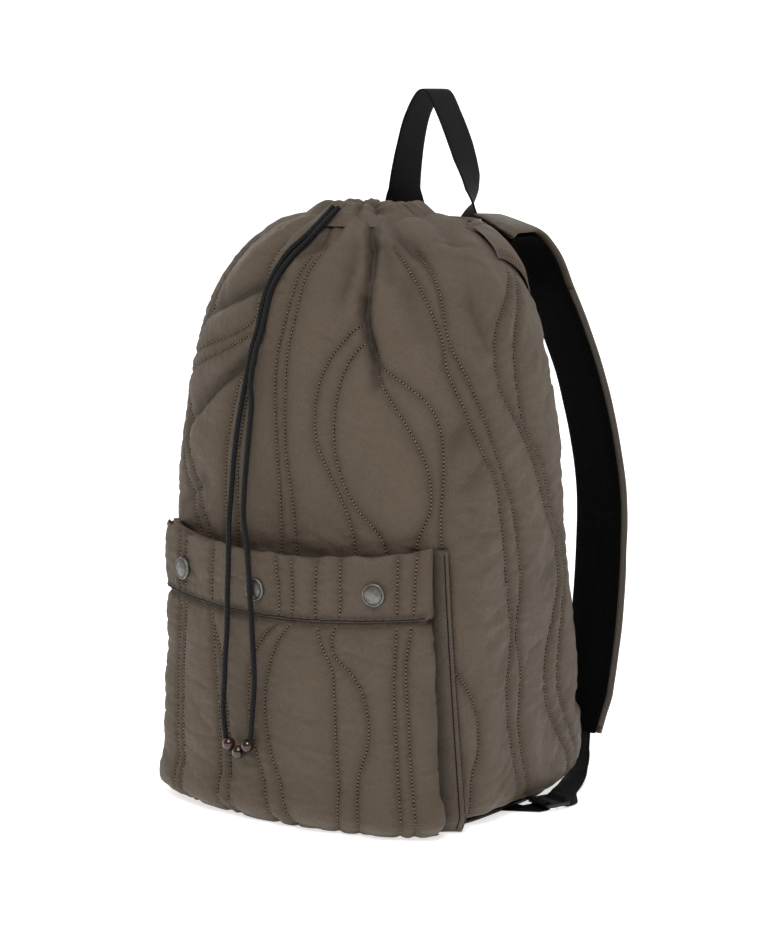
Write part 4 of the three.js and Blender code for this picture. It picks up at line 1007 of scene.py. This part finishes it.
pocket_outer, pocket_values = finished_pocket()
pocket_surface = Surface(pocket_outer)
pocket_lining = pocket_points(np.array([1, 0.97, 0.9, 0.8, 0.6, 0.4, 0.2, 0.08, 0.0]), POCKET_WALL) + [0, 1.5, 0]
pocket_under = back_edge(pocket_outer[:1], POCKET_FLOOR + 0.2)
pocket_inside = back_edge(pocket_lining[-1:], pocket_lining[-1:, :, 2])
unmarked = np.zeros((len(pocket_lining) + 1, pocket_outer.shape[1]))
pocket = grid_mesh(
    "front_pocket_cloth", np.concatenate([pocket_under, pocket_outer, pocket_lining, pocket_inside]), QUILTED,
    values={key: np.concatenate([0 * value[:1], value, unmarked]) for key, value in pocket_values.items()},
)
add(pocket, "front_pocket")
below_band = SEAM * (POCKET_ROWS - 1) + 0.3
for line in pocket_lines:
    stitch("pocket", pocket_surface, line[line[:, 0] < below_band])
for line in gusset_lines:
    stitch("gusset", pocket_surface, line, lift=0.5)


BAND_COLUMNS = 200
BAND_FACE = slice(2, 38)


def band_points():
    """The folded band, from its lower edge up its face, over the top and down behind."""
    across = np.linspace(-BAND_REACH, BAND_REACH, BAND_COLUMNS)
    face = np.linspace(BAND_BOTTOM, 1, 34)[1:]
    ups = np.concatenate([np.full(3, BAND_BOTTOM), face, np.ones(5), np.linspace(1, BAND_BOTTOM, 12)[1:]])
    outs = np.concatenate([[0, 0.5, 0.92], np.ones(33), [0.93, 0.75, 0.5, 0.25, 0.07], np.zeros(11)])
    rises = np.concatenate([[0, -0.5, -0.3], np.zeros(33), [0.5, 1.1, 1.4, 1.1, 0.5], np.zeros(11)])
    up, out = ups[:, None], outs[:, None]
    crown = 0.9 * np.sin(math.pi * np.clip((up - BAND_BOTTOM) / (1 - BAND_BOTTOM), 0, 1)) * (out > 0.9)
    y = pocket_front(across, up) + BAND_THICK * (1 - out) - crown
    y = y + corner_round(across, POCKET_HALF_WIDTH, CORNER)
    z = lerp(POCKET_FLOOR, pocket_top(across), up) + rises[:, None]
    return np.stack([np.broadcast_to(across * POCKET_HALF_WIDTH, y.shape), y, z], axis=-1), across, ups


band_smooth, band_across, band_ups = band_points()
band_skin = Surface(band_smooth)


def band_places(line):
    line = dense(line)
    inside = line[(line[:, 0] > BAND_BOTTOM) & (np.abs(line[:, 1]) < 0.96)]
    rows = 2 + (inside[:, 0] - BAND_BOTTOM) / (1 - BAND_BOTTOM) * 33
    return np.column_stack([rows, (inside[:, 1] / BAND_REACH + 1) / 2 * (BAND_COLUMNS - 1)])


def finished_band(lines):
    lift, values = quilt(band_smooth, Seams(band_skin, lines), 1.3, 4.4)
    on_face = np.zeros((len(band_smooth), 1))
    on_face[BAND_FACE] = 1
    from_ends = [np.clip((BAND_REACH + way * band_across) / 0.03, 0, 1) * math.pi / 2 for way in (1, -1)]
    lift = np.maximum(lift, -1.6) * on_face * (np.sin(from_ends[0]) * np.sin(from_ends[1]))
    points = band_smooth + band_skin.normals * lift[..., None]
    ripple = 1.1 * np.sin(band_across * 14 + 1) + 0.9 * np.sin(band_across * 31 + 2)
    points[..., 2] += ripple * smoothstep(band_ups, 0.85, 1)[:, None] * 0.8
    return points, values


band_lines = [band_places(line) for line in POCKET_LINES if line[0][0] == 1]
hem_line = np.column_stack([np.full(120, 4.0), np.linspace(1, BAND_COLUMNS - 2, 120)])
band_shape, band_values = finished_band([*band_lines, hem_line])
band_surface = Surface(band_shape)
add(grid_mesh("pocket_band_cloth", band_shape, QUILTED, values=band_values), "pocket_band")
for line in band_lines:
    stitch("band", band_surface, line)
stitch("hem", band_surface, hem_line - [1.6, 0], radius=0.34)

SNAPS = {"left": -0.745, "middle": -0.1, "right": 0.71}
# A snap cap's outline from its rim's back to its crown, as shares of its radius and height
SNAP_PROFILE = [
    (0, 0), (0.9, 0), (1.0, 0.22), (1.0, 0.42), (0.96, 0.66), (0.9, 0.74), (0.84, 0.7), (0.78, 0.7),
    (0.6, 0.84), (0.3, 0.96), (0, 1),
]
# How worn light a cap is at these shares of its radius
SNAP_WEAR = ([0, 0.62, 0.76, 0.83, 0.92, 1], [0.75, 0.6, 0.35, 0.0, 1, 0.6])


def snap(side, across):
    outline = [(out * SNAP_RADIUS, up * SNAP_HEIGHT, 0) for out, up in SNAP_PROFILE]
    profile = Curve(outline).at(np.linspace(0, 1, 46))
    angle = np.linspace(0, 2 * math.pi, 72, endpoint=False)
    z = pocket_top(across) - SNAP_DROP
    up = (z - POCKET_FLOOR) / (pocket_top(across) - POCKET_FLOOR)
    slope = (pocket_front(across + 0.02, up) - pocket_front(across - 0.02, up)) / (0.04 * POCKET_HALF_WIDTH)
    lean = Matrix.Rotation(math.atan(slope), 3, "Z")
    ring = np.stack([np.cos(angle), 0 * angle, np.sin(angle)], axis=-1)
    points = profile[:, None, 0:1] * ring[None] + np.array([0, -1, 0]) * profile[:, None, 1:2]
    points = points @ np.array(lean).T
    points += [across * POCKET_HALF_WIDTH, pocket_front(across, up) - 1.1, z]
    crown = np.broadcast_to(np.interp(profile[:, 0] / SNAP_RADIUS, *SNAP_WEAR)[:, None], points.shape[:2])
    piece = grid_mesh(f"snap_cap_{side}", points, METAL, wrap=True, values={"crown": crown})
    add(piece, f"snap_{side}")


for side, across in SNAPS.items():
    snap(side, across)


def back_point(x, z, lift):
    """The points of the smooth back, moved out by lift, at these x and z."""
    x, z = np.asarray(x, float), np.asarray(z, float)
    around = np.where(x < 0, -0.8, 0.8)
    height = np.clip((z - SHELL_BOTTOM) / (BODY_HEIGHT - SHELL_BOTTOM), 0, 1)
    for _ in range(16):
        rows = np.interp(height, heights, np.arange(BODY_ROWS))
        spot, normal = smooth_skin.at(rows, (around + 1) / 2 * BODY_COLUMNS)
        spot = spot + normal * lift
        around = around + (spot[..., 0] - x) * 0.7 / np.interp(height, heights, half_girths)
        height = np.clip(height + (z - spot[..., 2]) * 0.7 / BODY_HEIGHT, 0, 1)
    return spot


YOKE_FACE = YOKE_LIFT + YOKE_THICK
yoke_arounds = 1 + YOKE_HALF_REACH * np.linspace(-1, 1, 150)
yoke_base = yoke_low(np.abs(yoke_arounds - 1))


def yoke_row(share, lift):
    height = lerp(yoke_base, YOKE_TOP, share)
    rows = np.interp(height, heights, np.arange(BODY_ROWS))
    spot, normal = smooth_skin.at(rows, (yoke_arounds + 1) / 2 * BODY_COLUMNS)
    ends = lerp(0.4, 1, smoothstep(1 - np.abs(yoke_arounds - 1) / YOKE_HALF_REACH, 0, 0.16))
    return spot + normal * (lift * ends * lerp(0.5, 1, smoothstep(share, 0, 0.3)))[:, None]


def yoke_line(down):
    return np.column_stack([np.full(140, float(down)), np.linspace(2, 147, 140)])


yoke_edge = [(0.1, YOKE_LIFT), (0, YOKE_LIFT), (-0.004, YOKE_LIFT + 1), (0.0, YOKE_FACE - 0.9)]
yoke_face = [(share, YOKE_FACE) for share in np.linspace(0.015, 1, 44)]
yoke_smooth = np.stack([yoke_row(*row) for row in (*yoke_edge, *yoke_face, (1.0, YOKE_LIFT))])
yoke_skin = Surface(yoke_smooth)
yoke_lines = [yoke_line(6), yoke_line(10), yoke_line(44)]
yoke_away = Seams(yoke_skin, yoke_lines).near(yoke_smooth)[0]
yoke_lift = 0.25 * roughness(yoke_smooth, 22, 1.5) - 0.6 * bell(yoke_away / 2.2)
yoke_lift[[0, 1, 2, 3, -1]] = 0
yoke_points = yoke_smooth + yoke_skin.normals * yoke_lift[..., None]
yoke_surface = Surface(yoke_points)
# painted shade at the yoke's stitch lines and painted highlight where it rises
yoke_values = {"groove": 0.5 * np.exp(-yoke_away / 2.5), "puff": np.clip(0.4 + yoke_lift, 0, 1)}
add(grid_mesh("back_yoke_cloth", yoke_points, QUILTED, values=yoke_values), "back_yoke")
for line in yoke_lines:
    stitch("yoke", yoke_surface, line)


def rounded_section(count, square):
    """A closed flat section, -0.5 to 0.5 each way, with soft edges."""
    angle = np.linspace(0, 2 * math.pi, count, endpoint=False)
    c, s = np.cos(angle), np.sin(angle)
    reach = (np.abs(c) ** square + np.abs(s) ** square) ** (-1 / square)
    return np.column_stack([0.5 * reach * c, 0.5 * reach * s])


def strip(curve, shares, sides, width, thick, section, lift=0.0, widths=None):
    """Rings of a flat strip along a curve."""
    points, along = curve.at(shares), curve.along(shares)
    side = unit(sides - along * np.sum(sides * along, axis=-1, keepdims=True))
    normal = np.cross(along, side)
    widths = np.ones(len(shares)) if widths is None else widths
    across = section[None, :, 0, None] * side[:, None] * (width * widths)[:, None, None]
    through = normal[:, None] * (section[None, :, 1, None] * thick + lift)
    return points[:, None] + across + through


def strip_uv(points, section, width):
    """UVs of a strip: across it in millimetres, and along it."""
    across = np.append(section[:, 0], section[0, 0]) * width
    return np.stack(np.broadcast_arrays(across[None, :], run_along(points.mean(axis=1))[:, None]), axis=-1)


# Across in shares of the half span, height as a share from foot to top, and turn in degrees
HANDLE_STATIONS = np.array([
    (-0.95, 0, 90), (-0.95, 0.12, 82), (-0.97, 0.24, 44), (-0.98, 0.38, 12), (-0.79, 0.67, 3), (-0.57, 0.85, 0),
    (-0.2, 0.985, 0), (0, 0.985, 0), (0.33, 0.85, 0), (0.66, 0.67, 0), (0.82, 0.56, -3), (0.95, 0.47, -9),
    (1.01, 0.38, -18), (1.04, 0.29, -36), (0.99, 0.2, -62), (0.95, 0.1, -86), (0.95, 0, -90),
])


def carry_handle():
    foot_zs = np.array([HANDLE_FOOT, HANDLE_FOOT + 18.0])
    rest = back_point(np.full(2, HANDLE_HALF_SPAN - HANDLE_WIDTH / 2), foot_zs, YOKE_FACE)[:, 1].max()
    across, up, turns = HANDLE_STATIONS.T
    y = np.full(len(across), rest + HANDLE_THICK / 2 + CLEARANCE * 1.3)
    curve = Curve(np.column_stack([across * HANDLE_HALF_SPAN, y, lerp(HANDLE_FOOT, HANDLE_TOP, up)]))
    shares = np.linspace(0, 1, 240)
    turn = np.interp(curve.stations(shares), np.linspace(0, 1, len(turns)), turns) * DEGREES
    sides = np.column_stack([np.sin(turn), np.cos(turn), 0 * turn])
    section = rounded_section(36, 7)
    points = strip(curve, shares, sides, HANDLE_WIDTH, HANDLE_THICK, section)
    uv = strip_uv(points, section, HANDLE_WIDTH)
    piece = grid_mesh("carry_handle_webbing", points, WEBBING, wrap=True, caps=True, uv=uv)
    add(piece, "carry_handle")


carry_handle()

# Across, height and bow as shares, then twist as a share and hang in degrees
STRAP_STATIONS = np.array([
    (0.525, 0.966, -0.98, 0, 26), (0.525, 0.972, -0.78, 0, 18), (0.525, 0.956, -0.53, 0.3, 6),
    (0.535, 0.921, -0.26, 0.6, -2), (0.555, 0.87, 0, 0.9, -4), (0.59, 0.793, 0.42, 1, -2),
    (0.634, 0.712, 0.7, 1, 0), (0.68, 0.605, 0.935, 1, 0), (0.724, 0.498, 1, 1, 0), (0.754, 0.393, 0.87, 1, 0),
    (0.784, 0.263, 0.59, 1, 0), (0.799, 0.16, 0.28, 1, 0), (0.806, 0.12, 0.15, 1, 0),
    (0.806, 0.085, 0.12, 1, 0),
])
strap_curve = Curve(np.column_stack([
    -STRAP_STATIONS[:, 0] * BODY_HALF_WIDTH, BACK_DEPTH + STRAP_STATIONS[:, 2] * STRAP_BOW,
    STRAP_STATIONS[:, 1] * BODY_HEIGHT,
]))
STRAP_SECTION = rounded_section(40, 3.2)
EDGE_SECTION = rounded_section(16, 2.4)
BINDING_WIDTH = 3.2
BINDING_THICK = 3.4
BINDING_INSET = 1.1
ROOT_SHARE = 3.3 / 20


def strap_sides(shares):
    at = np.linspace(0, 1, len(STRAP_STATIONS))
    place = strap_curve.stations(shares)
    twist = np.interp(place, at, STRAP_STATIONS[:, 3]) * STRAP_TWIST * DEGREES
    hang = np.interp(place, at, STRAP_STATIONS[:, 4]) * DEGREES
    return np.column_stack([np.cos(twist), np.sin(twist), np.sin(hang)])


def strap_widths(shares):
    """A strap's width as a share of its full one, narrower at the root and at the end."""
    return 1 - 0.3 * (1 - smoothstep(shares, 0.01, 0.15)) - 0.35 * smoothstep(shares, 0.93, 1.02)


def strap_layer(thick, lift, width):
    """One layer of a strap, with its root laid on the yoke."""
    shares = np.linspace(0, 1, 190)
    ways, widths = strap_sides(shares), strap_widths(shares)
    rings = strip(strap_curve, shares, ways, width, thick, STRAP_SECTION, lift, widths)
    fitted = shares < ROOT_SHARE
    root = rings[fitted]
    seat = back_point(root[..., 0], root[..., 2], YOKE_FACE + ROOT_GAP)[..., 1]
    first = (shares[fitted] < 0.5 / 20)[:, None]
    start = np.where(first, np.minimum(seat, root[..., 1] + 16), root[..., 1])
    pressed = np.maximum(np.maximum(start, seat), root[..., 1] - 22)
    fade = (1 - smoothstep(shares[fitted], 2.9 / 20, ROOT_SHARE))[:, None]
    rings[fitted, :, 1] = lerp(root[..., 1], pressed, fade)
    return rings, shares


def sided(name, points, material, side, uv=None):
    """A closed strip, mirrored where it is the right one."""
    right = side == "right"
    points = points * [-1, 1, 1] if right else points
    return grid_mesh(name, points, material, wrap=True, caps=True, uv=uv, flip=right)


def strap(side):
    for kind, thick, way, width, seed, material, slot in (
        ("cover", STRAP_COVER, -1, STRAP_WIDTH, 5.0, PLAIN, "quilted_cloth"),
        ("mesh", STRAP_MESH, 1, STRAP_WIDTH - 4, 8.0, KNIT, "spacer_mesh"),
    ):
        points, shares = strap_layer(thick, way * (thick + LAYER_GAP) / 2, width)
        rough = roughness(points, 26, seed + (7 if side == "right" else 0))
        out = unit(points - points.mean(axis=1, keepdims=True))
        points = points + out * (0.35 * rough * smoothstep(shares, 0.1, 0.2)[:, None])[..., None]
        uv = strip_uv(points, STRAP_SECTION, width)
        piece = sided(f"strap_{kind}_{side}_padding", points, material, side, uv)
        add(piece, f"strap_{kind}_{side}")
    # the ribbed binding round the strap's two edges
    shares = np.linspace(0.17, 0.985, 170)
    for name, sign in (("outer", 1), ("inner", -1)):
        aside = sign * (0.5 - BINDING_INSET / STRAP_WIDTH)
        section = EDGE_SECTION * [BINDING_WIDTH / STRAP_WIDTH, 1] + [aside, 0]
        ways, widths = strap_sides(shares), strap_widths(shares)
        points = strip(strap_curve, shares, ways, STRAP_WIDTH, BINDING_THICK, section, 0.0, widths)
        add(sided(f"strap_binding_{name}_{side}", points, BINDING, side))


strap("left")
strap("right")

WEBBING_SECTION = rounded_section(28, 7)
TAB_STEPS = 90
# The locks lie on the floor beside the bag's bottom edge, with the webbing round one bar and the tab
# round the other
LOOP_RADIUS = math.hypot(LOCK_BAR, LOCK_THICK) / 2 + WEBBING_THICK / 2 + CLEARANCE * 1.5
FLAT_WEBBING = WEBBING_THICK / 2 + 2 * CLEARANCE
BASE_SIDE = BODY_HALF_WIDTH * 0.84 + 2
lock_place = np.array([-BASE_SIDE - LOCK_OUT, LOCK_BACK, FLAT_WEBBING + LOOP_RADIUS])
lock_way = np.array([-math.cos(LOCK_TURN * DEGREES), math.sin(LOCK_TURN * DEGREES), 0])
WEBBING_STATIONS = [(0.813, 1.02, 0.042), (0.85, 0.9, 0.015), (0.888, 0.765, 0.004), (0.933, 0.6, 0)]


def round_bar(end):
    """A webbing's way round one end bar of the lock: 1 for the back bar, -1 for the front one."""
    bar = end * (LOCK_LENGTH - LOCK_BAR) / 2
    turn = [(LOOP_RADIUS * math.cos(a), LOOP_RADIUS * math.sin(a)) for a in np.radians([-90, -135, 180, 135, 90])]
    spots = [(LOCK_BAR * 1.5, -LOOP_RADIUS), *turn, (LOCK_BAR * 1.8, LOOP_RADIUS * 0.9)]
    return [lock_place + lock_way * (bar + end * out) + [0, 0, up] for out, up in spots]


def finish_webbing(name, curve, shares, ways, side, before=None):
    points = strip(curve, shares, ways, WEBBING_WIDTH, WEBBING_THICK, WEBBING_SECTION)
    if before:
        points = np.concatenate([before(points[0]), points])
    uv = strip_uv(points, WEBBING_SECTION, WEBBING_WIDTH)
    add(sided(f"{name}_{side}_ribbed", points, WEBBING, side, uv), f"{name}_{side}")


def strap_webbing(side):
    start = strap_curve.line[-1] + [0, 0, LAYER_GAP * 4]
    bends = [
        (-aside * BODY_HALF_WIDTH, back * BACK_DEPTH, FLAT_WEBBING + up * BODY_HEIGHT)
        for aside, back, up in WEBBING_STATIONS
    ]
    shares = np.linspace(0, 1, 200)
    turn = np.interp(shares, [0, 0.3, 0.6, 0.8, 1], [STRAP_TWIST, 28, 24, 18, 18]) * DEGREES
    ways = np.column_stack([np.cos(turn), np.sin(turn), 0 * turn])
    finish_webbing("strap_webbing", Curve([start, *bends, *round_bar(1)]), shares, ways, side)


def corner_tab(side):
    """The tab that holds the lock: sewn in at the seam of the base, turned flat and laid round the front bar."""
    loop = round_bar(-1)
    ways = np.tile([-lock_way[1], lock_way[0], 0], (TAB_STEPS, 1))

    def flat_turn(ring):
        sewn = ring.copy()
        sewn[:, 0] = -BASE_SIDE - CLEARANCE
        sewn[:, 1] = LOCK_BACK - TAB_DROP - WEBBING_SECTION[:, 0] * WEBBING_WIDTH
        return lerp(sewn[None], ring[None], np.linspace(0, 1, 26)[:-1, None, None])

    curve = Curve([loop[0] - lock_way * LOCK_BAR, *loop])
    finish_webbing("corner_tab", curve, np.linspace(0, 1, TAB_STEPS), ways, side, flat_turn)


for side in ("left", "right"):
    strap_webbing(side)
    corner_tab(side)


def tube(curve, radius, count, sides):
    """Rings round a curve, with the middles of the rings."""
    shares = np.linspace(0, 1, count)
    points, along = curve.at(shares), curve.along(shares)
    side = unit(np.cross(along[0], [0, 0, 1.0]) + [1e-6, 0, 0])
    angle = np.linspace(0, 2 * math.pi, sides, endpoint=False)[:, None]
    rings = []
    for point, way in zip(points, along):
        side = unit(side - way * np.dot(side, way))
        rings.append(point + radius * (np.cos(angle) * side + np.sin(angle) * np.cross(way, side)))
    return np.stack(rings), points


cord_points, cord_path = tube(cord_curve, CORD_DIAMETER / 2, 620, 20)
cord = grid_mesh("drawcord_braid", cord_points, CORD, wrap=True, caps=True)
add(cord, "drawcord")


def bead(name, step):
    bore, radius = BEAD_BORE / 2, BEAD_DIAMETER / 2
    half = math.sqrt(radius**2 - bore**2)
    spread = math.atan2(half, bore)
    angles = np.linspace(-spread, spread, 26)
    crown = [(radius * math.cos(a), radius * math.sin(a)) for a in angles]
    profile = np.array([(bore - 0.3, 0), (bore, -half + 0.5), *crown, (bore, half - 0.5)])
    ends = cord_curve.at([0.5 + (step - 0.5) / CORD_STEPS, 0.5 + (step + 0.5) / CORD_STEPS])
    way = unit(ends[1] - ends[0])
    side = unit(np.cross(way, [0, 1, 0]))
    turn = np.linspace(0, 2 * math.pi, 40, endpoint=False)[:, None]
    ring = np.cos(turn) * side + np.sin(turn) * np.cross(way, side)
    points = ends.mean(axis=0) + profile[:, None, 0:1] * ring[None] + profile[:, None, 1:2] * way
    piece = grid_mesh(f"{name}_resin", points, BEAD, wrap=True)
    add(piece, name)
    return piece


beads = [bead(name, step) for name, step in (("bead_left", -1), ("bead_middle", 0), ("bead_right", 1))]

for name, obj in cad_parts.items():
    if name.startswith("ladder_lock"):
        obj.data.materials.clear()
        obj.data.materials.append(PLASTIC)
        bevel = obj.modifiers.new("soft_edges", "BEVEL")
        bevel.width = 0.3 * MM
        bevel.segments = 2
        bevel.limit_method = "ANGLE"

STITCH_LOOKS = {"gusset": BLACK_THREAD, "hem": BLACK_THREAD}
for group, kind in sorted(stitch_sets):
    look = HOLE_SHADE if kind == "hole" else STITCH_LOOKS.get(group, THREAD)
    add(stitch_mesh(f"stitches_{group}_{kind}", stitch_sets[group, kind], look))

# The camera's place and aim, in metres and degrees, fitted to the photograph
AZIMUTH = 36 * DEGREES
PITCH = 7.9 * DEGREES
CAMERA_AWAY = 1.890
CAMERA_ASIDE = 0.0147
CAMERA_HEIGHT = 0.504
ahead = np.array([-math.sin(AZIMUTH), math.cos(AZIMUTH), 0])
right = np.array([math.cos(AZIMUTH), math.sin(AZIMUTH), 0])
above = np.array([0, 0, 1.0])
scene = bpy.context.scene

SWEEP_REACH = 30
SWEEP_FLAT = 1.6
SWEEP_RADIUS = 1.2
SWEEP_TOP = 4.5


def studio_sweep():
    """A bright paper floor that turns up behind the bag."""
    bends = np.linspace(0.1, math.pi / 2, 14)
    profile = [(-SWEEP_REACH, 0.0), (SWEEP_FLAT, 0.0)]
    profile += [(SWEEP_FLAT + SWEEP_RADIUS * math.sin(a), SWEEP_RADIUS * (1 - math.cos(a))) for a in bends]
    profile += [(SWEEP_FLAT + SWEEP_RADIUS, SWEEP_TOP)]
    columns = (-SWEEP_REACH, 0, SWEEP_REACH)
    points = np.array([[ahead * away + right * aside + above * up for aside in columns] for away, up in profile])
    made = Material("studio_paper", 0.9)
    paper = made.mix(made.noise(3.0), (0.93, 0.93, 0.93, 1), (0.96, 0.96, 0.96, 1))
    made.feed(made.shader.inputs["Base Color"], paper)
    made.shader.inputs["Emission Color"].default_value = (1, 1, 1, 1)
    made.shader.inputs["Emission Strength"].default_value = 0.66
    return grid_mesh("studio_sweep", points / MM, made.material)


studio_sweep()


def area_light(name, place, target_height, size, power):
    light = bpy.data.lights.new(name, "AREA")
    light.shape = "SQUARE"
    light.size = size
    light.energy = power
    obj = bpy.data.objects.new(name, light)
    obj.location = place
    obj.rotation_euler = Vector(above * target_height - place).to_track_quat("-Z", "Y").to_euler()
    scene.collection.objects.link(obj)


area_light("key", ahead * -1.6 - right * 0.15 + above * 2.0, 0.2, 1.1, 40)
area_light("fill", ahead * -1.2 + right * 2.0 + above * 1.2, 0.2, 1.6, 1.5)
area_light("top", ahead * 0.3 + above * 2.4, 0.3, 1.6, 13)
world = bpy.data.worlds.new("studio")
scene.world = world
world.use_nodes = True
world.node_tree.nodes["Background"].inputs["Color"].default_value = (1, 1, 1, 1)
world.node_tree.nodes["Background"].inputs["Strength"].default_value = 0.13
scene.view_settings.view_transform = "Standard"
scene.view_settings.look = "None"

camera_data = bpy.data.cameras.new("camera")
camera_data.sensor_fit = "VERTICAL"
camera_data.sensor_height = 36
camera_data.lens = 100
camera_data.clip_start = 0.05
camera_data.clip_end = 30
camera = bpy.data.objects.new("camera", camera_data)
camera.location = right * CAMERA_ASIDE - ahead * CAMERA_AWAY + above * CAMERA_HEIGHT
look = Vector(ahead * math.cos(PITCH) - above * math.sin(PITCH))
camera.rotation_euler = look.to_track_quat("-Z", "Y").to_euler()
scene.collection.objects.link(camera)
scene.camera = camera
